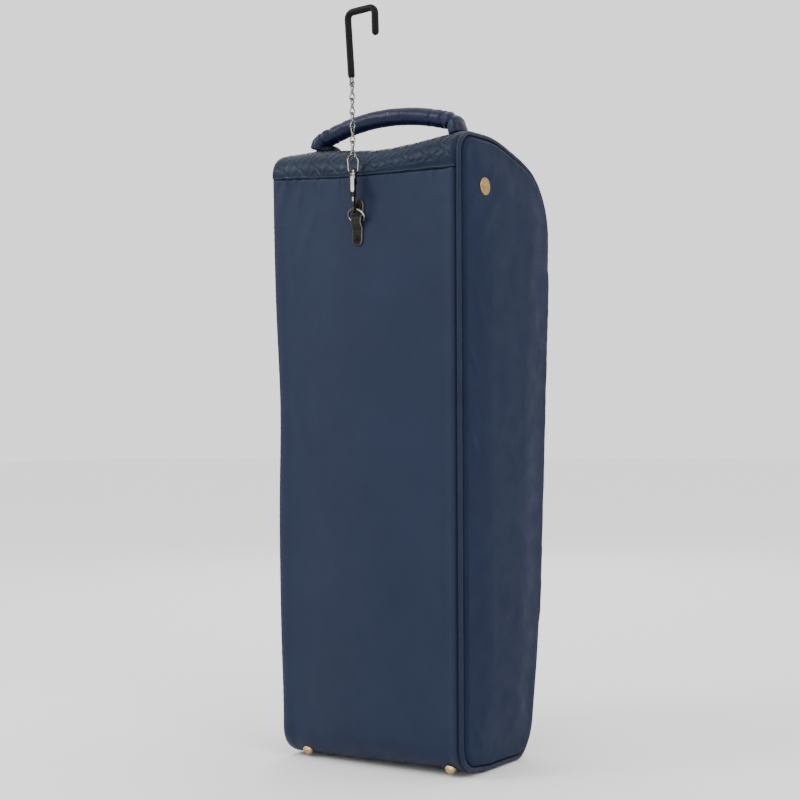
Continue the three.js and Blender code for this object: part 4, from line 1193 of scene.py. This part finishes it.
bail = fillet([(0, 0.8, -3.3), (0, 4.2, -3.3), (0, 4.2, 3.3), (0, 0.8, 3.3)], 1.4, 6)
gunmetal("zip_slider", [
    slab([(-4, -7), (4, -7), (4.2, -2), (3.6, 4), (2.6, 7), (-2.6, 7), (-3.6, 4), (-4.2, -2)], -0.6, 1.2),
    slab([(-0.6, -4), (0.6, -4), (0.6, 7), (-0.6, 7)], -5.6, 0, 0.15),
    slab([(-0.6, -4), (4.5, -4), (4.5, 7), (-0.6, 7)], -6, -4.9),
    tube(bail, 0.75, 10, up=(1, 0, 0)),
], "slider")
turn = np.linspace(0, 2 * math.pi, 28, endpoint=False)
pull_ring = [(2.3 * math.cos(a), 2.3, -1.6 + 2.9 * math.sin(a)) for a in turn]
gunmetal("zip_pull_tab", [
    tube(pull_ring, 0.62, 10, closed=True, up=(0, 1, 0)),
    slab(pill(6.0, 21.5, (0, -15.2)), 1.7, 2.9),
    slab(pill(3.2, 16.0, (0, -15.2)), 2.8, 3.1, 0.1),
], "pull")

# ---- lining ----
LINING_X, WINDOW_X = WRAP_X - GAP, TAPE_OUT_EDGE + 1
WINDOW_TOP, WINDOW_LOW = S_DOOR - 10, S_HINGE - 3


def lining_relief(x, s, p):
    """Slight unevenness of the lining."""
    return 0.5 * SWAY(x / 50 + 70, s / 60 + 5, 3) - 0.3


def lining_side(side):
    """Side of the lining, as rings from its seam to the middle line."""
    p, n, _ = at_run(np.linspace(0, ROUND, 240, endpoint=False))
    base = p - n * 6.3
    goal = medial(base[:, 1])
    layers = []
    for sink in (0.0, 0.8):
        rings = []
        for k in range(15):
            q = base + (goal - base) * (k / 14)
            u = np.linalg.norm(q - base, axis=1)
            dent = 0.6 * SWAY(q[:, 0] / 45 + 9 * side, q[:, 1] / 60, 2) * smooth(u / 12)
            rings.append(np.stack([side * (LINING_X - 0.4 - sink + dent), q[:, 0], q[:, 1]], -1))
        layers.append(np.array(rings))
    return ring_shell(*layers)


lining_wrap = masked(
    [span(-LINING_X, LINING_X, 5.0), [-WINDOW_X, WINDOW_X]],
    [span(0, WINDOW_TOP, 5), span(WINDOW_TOP, WINDOW_LOW, 6), span(WINDOW_LOW, ROUND, 5)],
    lambda x, s: (np.abs(x) >= WINDOW_X) | (s <= WINDOW_TOP) | (s >= WINDOW_LOW), 5.9, 0.8, lining_relief,
)
lining_parts = [lining_wrap, lining_side(-1), lining_side(1)]
weld(sewn("lining_cloth", lining_parts, LINING, ["lining"], slot="lining"), 0.00002)
door_xs = lines(span(-TAPE_IN_EDGE - 3, TAPE_IN_EDGE + 3, 4.0))
door_runs = lines(span(INNER_LOW - 3, S_FOOT, 5))
door_lining = sheet_part(door_xs, door_runs, 4.9, 0.7, None)
sewn("flap_lining_cloth", [door_lining], LINING, ["flap_lining"], "flap", "lining")
dress("back_board", BOARD)
dress("base_board", BOARD)

# ---- handle ----
HANDLE_FOOT_Z = 704.6
HANDLE_MID = 4.0  # the handle leans a little towards the right
HANDLE_R = 10.0


def handle_half(side, turn_at, drop, foot):
    """Half of the arch, from its crest to where it turns down sharply to the band."""
    reach = abs(turn_at - HANDLE_MID)
    pts = [(side * x, 734.0 - drop * x * x) for x in np.linspace(0, reach, 70)]
    slope, steep = math.atan(2 * drop * reach), math.radians(76)
    radius, (x0, z0) = 13.0, pts[-1]
    for k in range(1, 30):
        a = slope + (steep - slope) * min(1, k / 13)
        past = max(0, k - 13) * 0.8
        x = abs(x0) + radius * (math.sin(a) - math.sin(slope)) + past * math.cos(a)
        z = z0 - radius * (math.cos(slope) - math.cos(a)) - past * math.sin(a)
        if z > foot:
            pts.append((side * x, z))
    return [(HANDLE_MID + x, HANDLE_DEPTH, z) for x, z in pts]


LEFT_HALF = handle_half(-1, -81.0, 0.00205, HANDLE_FOOT_Z + 3.4)
HANDLE_LINE = np.array(LEFT_HALF[:0:-1] + handle_half(1, 92.0, 0.00180, HANDLE_FOOT_Z))


END_FOLDS = ((17, 1.5, 0.3), (24, 1.0, -0.35), (31, 0.6, 0.3), (44, 0.5, 0.2), (9, 0.5, -0.3))


def handle_folds(at, length, angle):
    """Creases across the roll near its ends, a few faint ones underneath, and the seam."""
    fold = 0.0
    for place, deep, lean in END_FOLDS:
        for edge in (at, length - at):
            off = edge - place
            fold -= deep * bell(off - lean * 8 * np.sin(angle), 1.7)
            fold += 0.4 * deep * bell(off - 4 - lean * 8 * np.sin(angle), 2.6)
    off = at - length / 2
    middle = math.exp(-((off / 60) ** 2)) * (np.cos(angle) < 0.4)
    for place, deep in ((-31, 0.35), (-12, 0.25), (7, 0.3), (24, 0.4), (41, 0.3)):
        fold -= deep * middle * bell(off - place - 3 * np.sin(angle + place), 1.5)
    return fold - 0.5 * bell(angle - math.pi, 0.09)


def handle_part():
    """The roll: round in the middle, pinched flatter and broader towards its ends."""
    path, sides = HANDLE_LINE, 44
    tangent = units(np.gradient(path, axis=0))
    side = np.array([0, 1.0, 0])
    top = np.cross(tangent, side)
    top *= np.sign(top[:, 2:3] + 1e-9)
    run = np.concatenate([[0], np.cumsum(np.linalg.norm(np.diff(path, axis=0), axis=1))])
    pinch = 1 - smooth((np.minimum(run, run[-1] - run) - 2) / 34)
    tall, broad = HANDLE_R * (1 - 0.10 * pinch), HANDLE_R * (1 + 0.32 * pinch)
    power = 1 + 0.35 * pinch
    angle = np.linspace(0, 2 * math.pi, sides, endpoint=False)
    c, s = np.cos(angle), np.sin(angle)
    rows = []
    for i, at in enumerate(run):
        squared = np.abs(c) ** (2 * power[i]) + np.abs(s) ** (2 * power[i])
        soft = 1 / squared ** (0.5 / power[i])
        ripple = 0.28 * FINE(at / 6.0 + 50, angle * 2.2, 2) + 0.35 * SWAY(at / 26, angle * 1.2 + 9, 2)
        grow = 1 + (ripple + handle_folds(at, run[-1], angle)) / HANDLE_R
        high, wide = tall[i] * c * soft * grow, broad[i] * s * soft * grow
        rows.append(path[i] + top[i] * high[:, None] + side * wide[:, None])
    levels = ((0.96, 0.8), (0.86, 1.4), (0.6, 1.7), (0.3, 1.8))
    return domed(path, tangent, np.array(rows), levels, np.ones(len(path)), False)


def handle_thread():
    """Two thread rows along the seam under the roll."""
    line = resample(HANDLE_LINE[30:-30], 3.3)
    along = np.gradient(line, axis=0)
    out = np.cross(along, (0, 1.0, 0))
    out = units(out * -np.sign(out[:, 2:3]))
    return [stitches(line + out * 9.75 + (0, off, 0), along, out, 2.3, 0.3, 0.05) for off in (-1.6, 1.6)]


def handle_core():
    """Foam cord inside the roll, thinner at its ends."""
    line = resample(HANDLE_LINE[14:-14], 2.5)
    to_end = 2.5 * np.minimum(np.arange(len(line)), np.arange(len(line))[::-1])
    return tube(line, 3.0 + 3.6 * smooth(to_end / 26), 20, up=(0, 1, 0))


handle = piece("handle_cover_roll", [handle_part()], LEATHER, "handle", "leather", ["handle_cover"], sharp=60)
piece("handle_stitching", handle_thread(), THREAD, "handle", "leather")
piece("handle_core_cord", [handle_core()], FOAM, "handle", "core", ["handle_core"])

# ---- tabs that tie the handle to the band ----
S_HANDLE = run_where(0, HANDLE_DEPTH, FACE_END - 40, FACE_END + 260)
TAB_X, TAB_LENGTH, TAB_HALF = 76.0, 41, 12.5


def tongue_part():
    """Rounded end of the left tab, pushed up in a lump under the handle."""
    sides, rows = 28, []
    turn = np.linspace(0, 2 * math.pi, sides, endpoint=False)
    c, k = np.cos(turn), np.sin(turn)
    p, _, puff = at_run(S_HANDLE)
    for step in np.linspace(0, 1, 30):
        a = 31 * step**1.3
        tip = math.sqrt(max(0.02, 1 - (1 - min(a, 9.0) / 9) ** 2))
        tall, broad = 5.2 * tip * (1 - 0.6 * float(smooth((a - 17) / 14))), 10.5 * (0.5 + 0.5 * tip)
        x = -63 - a
        base = p[1] - SKIN + CROWN * float(puff * pillow(x)) - 0.4
        crinkle = 0.35 * FINE(a / 5 + 3, turn * 1.5, 2)
        d = HANDLE_DEPTH + (broad + crinkle) * np.sign(c) * np.abs(c) ** 0.75
        z = base + tall + (tall + crinkle * tip) * np.sign(k) * np.abs(k) ** 0.75
        rows.append(np.stack([np.full(sides, x), d, z], -1))
    verts = np.concatenate(rows)
    return orient(verts, ring_faces(len(rows), sides) + end_faces(len(verts), sides))


def tab_grid(side, height):
    """Face of a tab, height above the band: a runs outwards from its nose under the handle, b across it."""
    a, b = np.meshgrid(span(0, TAB_LENGTH, 1.0), span(-TAB_HALF, TAB_HALF, 1.0))
    rim = np.minimum(np.minimum(a, TAB_LENGTH - a), TAB_HALF - np.abs(b))
    swell = height * (0.45 + 0.55 * smooth(rim / 2.0)) + 0.10 * FINE(a / 5 + side, b / 5, 2) * (height > 0.5)
    runs = S_HANDLE + b * (1 - 0.10 * (1 - smooth(a / 8)))
    grid, _ = seat(side * (TAB_X + a), runs, -SKIN + 0.9 + swell, 1)
    grid[..., 0] += side * 7.0 * np.maximum(0, 10 - a) / 10 * (np.abs(b) / TAB_HALF) ** 2.4
    return grid


def tab_thread(side):
    """Stitched rectangle on a tab."""
    loop = resample([(6, -9, 0), (36, -9, 0), (36, 9, 0), (6, 9, 0), (6, -9, 0)], 3.2)
    centre, facing = seat(side * (TAB_X + loop[:, 0]), S_HANDLE + loop[:, 1], -SKIN + 3.2, 1)
    return stitches(centre, np.gradient(centre, axis=0) + 1e-6, facing, 2.3, 0.33, 0.0)


for label, side in SIDES:
    parts = [shell(tab_grid(side, 2.4), tab_grid(side, 0.0)), tab_thread(side)]
    if side < 0:
        parts.append(tongue_part())
    name, looks = f"handle_tab_{label}", [LEATHER, THREAD, TONGUE]
    sewn(name + "_leather", parts, looks, [name], slot="leather", looks=range(len(parts)))

# ---- hanging bracket ----
BRACKET_TOP, BRACKET_LOW = 634.5, 583.5


def slant(z):
    """The bracket sits a little askew: its lower leg leans to the left."""
    return -2.2 * float(smooth((630.0 - z) / 42))


def bracket_part():
    """Pressed strap with a saddle over the bar of the ring, and the material number of each face."""
    saddle, flat = BAR_DEPTH - 1.4 - 0.9 - 1, STRAP_FACE - 1
    line = [(flat, BRACKET_TOP), (flat, 618.6), (saddle, 614.2), (saddle, 608.6), (flat, 602.6)]
    line = [(0, d, z) for d, z in line + [(flat, BRACKET_LOW)]]
    line = resample(fillet(line, 1.2, 5), 0.9)
    end = np.minimum(BRACKET_TOP - line[:, 2], line[:, 2] - BRACKET_LOW)
    half = 6.5 * np.sqrt(np.clip(1 - (1 - np.clip(end, 0, 6) / 6) ** 2, 0.02, 1))
    out = np.cross(units(np.gradient(line, axis=0)), (1.0, 0, 0))
    out *= np.sign(-out[:, 1:2])
    section = [(-1, -0.72), (-0.93, -1), (0.93, -1), (1, -0.72), (1, 0.72), (0.93, 1), (-0.93, 1), (-1, 0.72)]
    m = len(section)
    verts = [
        here + np.array([u * broad + slant(here[2]), 0, 0]) + away * w
        for here, broad, away in zip(line, half, out) for u, w in section
    ]
    faces = ring_faces(len(line), m)
    bare = [face for k, face in enumerate(faces) if k % m in (3, 4, 6, 7)]
    painted = [face for k, face in enumerate(faces) if k % m in (0, 1, 2, 5)] + end_faces(len(verts), m)
    return orient(np.array(verts), painted + bare), [0] * len(painted) + [1] * len(bare)


def painted_piece(name, kind, part, looks, sharp):
    """Piece of the bag in black paint."""
    return piece(f"{name}_{kind}", [part], looks, "bag", "black_paint", [name], sharp=sharp)


strap, marks = bracket_part()
bracket = painted_piece("hanging_bracket", "pressed", strap, [PAINT, BARE], 30)
bracket.data.polygons.foreach_set("material_index", marks)
dress("bracket_backing_plate", STEEL)
rivet = [(0, -14.6), (3.2, -14.6), (3.6, -14.0), (3.6, -13.6), (2.2, -13.4), (2.2, 0.1), (3.8, 0.1)]
rivet += [(4.0, 0.3)] + [(4.0 * math.cos(a), 2.4 * math.sin(a) + 0.3) for a in np.linspace(0, math.pi / 2, 9)]
rivet[-1] = (0, 2.4 + 0.3)
for label, z in (("top", 627.5), ("low", 590.5)):
    turned = lathe(rivet, (slant(z), STRAP_FACE - 2 - 0.3 + 0.3, z), (0, -1, 0), 36)
    painted_piece(f"bracket_rivet_{label}", "dome", turned, PAINT, 50)

# ---- D ring ----
LEAN = math.radians(36)


def ring_point(x, up):
    """Point of the ring, which leans out from the bag."""
    return np.array([x, BAR_DEPTH - up * math.sin(LEAN), BAR_Z + up * math.cos(LEAN)])


corner = [(7.2, 0), (9.4, 0.7), (10.4, 2.6)]
arch = [(10.4 * math.cos(a), 5.4 + 10.0 * math.sin(a)) for a in np.linspace(-0.05, math.pi + 0.05, 35)]
bow = np.array([ring_point(x, up) for x, up in corner + arch + [(-x, up) for x, up in corner[::-1]]])
for _ in range(3):
    bow[1:-1] = (bow[:-2] + 2 * bow[1:-1] + bow[2:]) / 4
bar = [ring_point(x, 0) for x in (-7.4, 0, 7.4)]
ring_parts = [tube(resample(bow, 0.8), 1.4, 16), tube(bar, 1.4, 16)]
piece("d_ring_wire", ring_parts, NICKEL, "ring", "steel", ["d_ring"])

# ---- bolt snap ----
BEND_Z, BEND_R = 624.1, 4.4
SNAP_TURN = math.radians(30)
BOLT_DEPTH, SHANK_DEPTH = CHAIN_DEPTH - BEND_R, CHAIN_DEPTH + BEND_R
X_AXIS, Y_AXIS, Z_AXIS = (1, 0, 0), (0, 1, 0), (0, 0, 1)


def hang(z):
    """Point of the chain's own line."""
    return np.array([0, CHAIN_DEPTH, z])


def snap_turned(part):
    """The snap hangs with its thumb piece turned towards the right corner."""
    v, f = part
    v = np.asarray(v, float)
    x, d = v[:, 0], v[:, 1] - CHAIN_DEPTH
    c, k = math.cos(SNAP_TURN), math.sin(SNAP_TURN)
    return np.stack([x * c - d * k, CHAIN_DEPTH + x * k + d * c, v[:, 2]], -1), f


def tongue_place(v):
    """Turns a slab so that it faces out from the bolt."""
    return np.stack([v[..., 0], BOLT_DEPTH - v[..., 1], v[..., 2]], -1)


hook_line = [(0, CHAIN_DEPTH + 1.5, 652), (0, SHANK_DEPTH - 0.6, 645), (0, SHANK_DEPTH, 640)]
hook_line += arc_points(hang(BEND_Z), BEND_R, 0, -180, 25, Y_AXIS, Z_AXIS)
hook_line = resample(hook_line + [(0, BOLT_DEPTH, 629.0), (0, BOLT_DEPTH, 630.4)], 0.8)
snap_radius = np.interp(hook_line[:, 2], [618, 632, 645, 652], [1.6, 1.6, 2.2, 2.9])
barrel = rounded([(2.1, 636), (3.1, 636), (3.4, 636.8), (3.4, 654.6), (3.0, 655.6), (2.1, 655.8)], 0.3)
collars = rounded([
    (2.0, 650), (3.6, 650), (4.4, 651.2), (4.4, 654.2), (3.7, 655.2), (3.7, 656.2), (4.3, 656.8),
    (4.3, 659.4), (3.6, 660.0), (3.6, 660.8), (4.1, 661.3), (4.1, 663.2), (3.3, 664), (2.0, 664),
], 0.25)
snap_parts = [
    snap_turned(tube(hook_line, snap_radius, 18, up=X_AXIS)),
    snap_turned(lathe(barrel, (0, BOLT_DEPTH, 0), Z_AXIS, 36)),
    lathe(collars, hang(0), Z_AXIS, 40),
]
piece("snap_body_cast", snap_parts, [GUNMETAL, NICKEL], "snap", "gunmetal", ["snap_body"], looks=[0, 0, 1])
bolt = rounded([(0, 630.9), (1.3, 630.9), (1.7, 631.5), (1.7, 646), (0, 646)], 0.2)
thumb = slab(pill(4.0, 18.6, (0, 649.6), 11), 4.1, 5.7, 0.6)
stem = slab([(-0.8, 640.6), (0.8, 640.6), (0.8, 645), (-0.8, 645)], 0.4, 4.6, 0.15)
bolt_parts = [lathe(bolt, (0, BOLT_DEPTH, 0), Z_AXIS, 28)]
bolt_parts += [placed_part(part, tongue_place) for part in (thumb, stem)]
piece("snap_bolt_thumb", [snap_turned(part) for part in bolt_parts], NICKEL, "bolt", "steel", ["snap_bolt"])

# ---- swivel eye and chain ----
EYE_R = 7.2
EYE_WAY = np.array([math.cos(math.radians(70)), math.sin(math.radians(70)), 0])
eye_foot = ((665.4, 3.0), (664.9, 5.2), (666.4, 6.3))
eye_line = [hang(z) + EYE_WAY * r for z, r in eye_foot]
eye_line += arc_points(hang(683 - EYE_R), EYE_R, -22, 202, 37, EYE_WAY, Z_AXIS)
eye_line += [hang(z) - EYE_WAY * r for z, r in eye_foot[::-1]]
eye_stem = rounded([
    (0, 656.1), (2.7, 656.1), (2.7, 658.4), (1.6, 658.6), (1.6, 664.3), (3.0, 664.5), (3.0, 666.4),
    (1.2, 667.0), (0, 667.0),
], 0.2)
eye_parts = [tube(resample(eye_line, 1.0), 1.1, 14), lathe(eye_stem, hang(0), Z_AXIS, 32)]
piece("swivel_eye_wire", eye_parts, NICKEL, "eye", "steel", ["swivel_eye"])


def link_loop(neck, end, half, along):
    """Loop of a chain link's wire, from its neck round the far end and back."""
    rise = math.copysign(1, end - neck)
    turn = arc_points(hang(end - rise * half), half, -24, 204, 27, along, (0, 0, rise))
    return tube(resample([hang(neck)] + turn + [hang(neck)], 0.7), 0.85, 12)


PITCH = 16.0
turns = np.linspace(0, 2.6 * 2 * math.pi, 60)
winding = np.stack([1.05 * np.cos(turns), 1.05 * np.sin(turns), 3.8 * turns / turns[-1] - 1.9], -1)
for i in range(1, 6):
    top = 683 + PITCH * i
    under = top - PITCH - 1.8 - 0.3 - (0.2 if i == 1 else 0)
    neck = under + 9.4
    loops = [link_loop(neck + 1.0, under, 3.1, X_AXIS), link_loop(neck - 1.0, top, 2.7, Y_AXIS)]
    loops.append(tube(winding + hang(neck), 0.75, 10))
    piece(f"chain_link_{i}_wire", loops, NICKEL, f"link_{i}", "steel", [f"chain_link_{i}"])

# ---- hook ----
HOOK_EYE_Z = 683 + 5 * PITCH + 0.3
leg_foot, leg_top = hang(HOOK_EYE_Z + 5) + (-0.4, 0, 0), hang(843.0) + (-5.0, 0, 0)
beak_top, beak_tip = hang(844.5) + (32.0, 0, 0), hang(816.0) + (32.6, 0, 0)
coat_foot = leg_foot + (leg_top - leg_foot) * 0.06
coat = resample(fillet([coat_foot, leg_top, beak_top, beak_tip + (0, 0, 0.5)], 7, 14), 1.3)
bulge = 4.0 + 0.10 * FINE(np.arange(len(coat)) / 9.0, np.zeros(len(coat)), 2)
piece("hook_sleeve_coat", [tube(coat, bulge, 24, up=Y_AXIS)], PVC, "hook", "black_pvc", ["hook_sleeve"])
rod = resample(fillet([leg_foot + (0, 0, -2.2), leg_top, beak_top, beak_tip + (0, 0, 3)], 8, 10), 2.0)
lug = arc_points(hang(HOOK_EYE_Z), 2.65, 0, 360, 33, X_AXIS, Z_AXIS)[:-1]
hook_parts = [tube(rod, 2.5, 16, up=Y_AXIS), tube(lug, 1.05, 14, closed=True, up=Y_AXIS)]
piece("hook_rod_steel", hook_parts, STEEL, "hook", "steel", ["hook_rod"])

# ---- loop and ring inside the bag ----
INNER_Y = 6.8 + 1.9 - CROWN + 3
inner_line = [(0.7, 633), (0.7, 595.3), (7.7, 595.3), (7.7, 633.3), (1.4, 633.3)]
inner_line = resample(fillet([(0, INNER_Y + d, z) for d, z in inner_line], 2.0, 6), 1.6)
webbing = tube(inner_line, 0.62, 14, up=Y_AXIS, wide=5.4)
piece("inner_loop_webbing", [webbing], WEBBING, "bag", "tape", ["inner_loop"])
ring_line = arc_points((0, INNER_Y + 4.2, 586.4), 13, 0, 360, 57, X_AXIS, Z_AXIS)[:-1]
ring_wire = tube(ring_line, 1.5, 16, closed=True, up=Y_AXIS)
piece("inner_ring_wire", [ring_wire], NICKEL, "inner_ring", "steel", ["inner_ring"])


# ---- stitching on the band and round the zip ----
def band_thread(xs, s):
    """Row of stitches across the band, at the runs s."""
    centre, facing = seat(xs, s, -SKIN + 0.95, 1)
    return stitches(centre, np.tile([1.0, 0, 0], (len(xs), 1)), facing, 2.4, 0.3, 0.05)


def painted_hem_shadow():
    """Dark cord along the hem of the band: a painted shadow line under the hem."""
    xs = np.linspace(-WRAP_X + 1, WRAP_X - 1.5, 260)
    path, _ = seat(xs, S_BAND - 3.0 + hem_line(xs) + 0.5 * FINE(xs / 9, xs * 0, 2), -SKIN - 0.35, 1)
    return tube(path, 0.75, 8)


def frame_thread(side):
    """Row of stitches beside the zip."""
    runs = np.arange(S_DOOR - 5, S_HINGE - 3, 3.4)
    centre, facing = seat(side * (FRAME_X + 2.6), runs, -SKIN - 0.05)
    return stitches(centre, heading(runs), facing, 2.4, 0.3, 0.0)


xs = np.arange(-WRAP_X + 8, WRAP_X - 8, 3.4)
# the last part is the dark cord that paints the shadow under the band's hem
band_parts = [band_thread(xs, S_BAND + 1.2 + hem_line(xs)), band_thread(xs, S_REAR - 3.0), painted_hem_shadow()]
sewn("band_stitching_and_hem_shadow", band_parts, [THREAD, TAPE_M], slot="leather", looks=[0, 0, 1])
sewn("zip_frame_stitching", [frame_thread(-1), frame_thread(1)], THREAD)

# ---- floor, light and camera ----
FLOOR_HALF, FLOOR_Z = 14.0, -0.0005  # m
corners = [(x * FLOOR_HALF, y * FLOOR_HALF, FLOOR_Z) for x, y in ((-1, -1), (1, -1), (1, 1), (-1, 1))]
mesh = bpy.data.meshes.new("floor")
mesh.from_pydata(corners, [], [(0, 1, 2, 3)])
floor = bpy.data.objects.new("floor", mesh)
bpy.context.scene.collection.objects.link(floor)
paper = bpy.data.materials.new("studio_paper")
paper.use_nodes = True
white = {"Base Color": (0.92, 0.92, 0.92, 1), "Roughness": 0.9}
wire(paper.node_tree, paper.node_tree.nodes["Principled BSDF"], white)
mesh.materials.append(paper)

world = bpy.data.worlds.new("studio")
bpy.context.scene.world = world
world.use_nodes = True
wire(world.node_tree, world.node_tree.nodes["Background"], {"Color": (1.0, 1.0, 1.0, 1), "Strength": 1.5})


def area_light(name, location, aim_z, size, power):
    """Round lamp that points at a height on the bag's middle line; sizes in metres, power in watts."""
    data = bpy.data.lights.new(name, "AREA")
    data.shape = "DISK"
    data.size = size
    data.energy = power
    obj = bpy.data.objects.new(name, data)
    obj.location = location
    obj.rotation_euler = (Vector((0, 0, aim_z)) - Vector(location)).to_track_quat("-Z", "Y").to_euler()
    bpy.context.scene.collection.objects.link(obj)


area_light("key", (-1.3, -1.7, 1.9), 0.62, 0.9, 24)
area_light("side", (2.2, -0.9, 1.9), 0.7, 0.9, 14)
area_light("top", (0.2, 0.4, 2.4), 0.5, 1.5, 5)
area_light("back", (-1.2, 2.2, 1.6), 0.4, 1.5, 14)

YAW, TILT, ROLL = math.radians(34), math.radians(1.08), math.radians(-0.69)
DISTANCE, TRACK, HEIGHT = 1741.9, -4.13, 378.5  # mm
FOCAL, SENSOR, FRAME_WIDTH = 1496.9, 36, 800  # focal length and frame width in pixels, sensor in mm
back = Vector((math.sin(YAW), -math.cos(YAW), 0))
right = Vector((math.cos(YAW), math.sin(YAW), 0))
rise = Vector((0, 0, 1))
forward = -back * math.cos(TILT) + rise * math.sin(TILT)
up = rise * math.cos(TILT) + back * math.sin(TILT)
cam_x = right * math.cos(ROLL) + up * math.sin(ROLL)
cam_y = up * math.cos(ROLL) - right * math.sin(ROLL)
place = Vector((0, 80 - CENTRE_DEPTH, 0)) + back * DISTANCE + right * TRACK + rise * HEIGHT
camera = bpy.data.objects.new("camera", bpy.data.cameras.new("camera"))
bpy.context.scene.collection.objects.link(camera)
rows = [(cam_x[i], cam_y[i], -forward[i], place[i] * 0.001) for i in range(3)]
camera.matrix_world = Matrix(rows + [(0, 0, 0, 1)])
camera.data.sensor_width = SENSOR
camera.data.lens = FOCAL / FRAME_WIDTH * SENSOR
bpy.context.scene.camera = camera
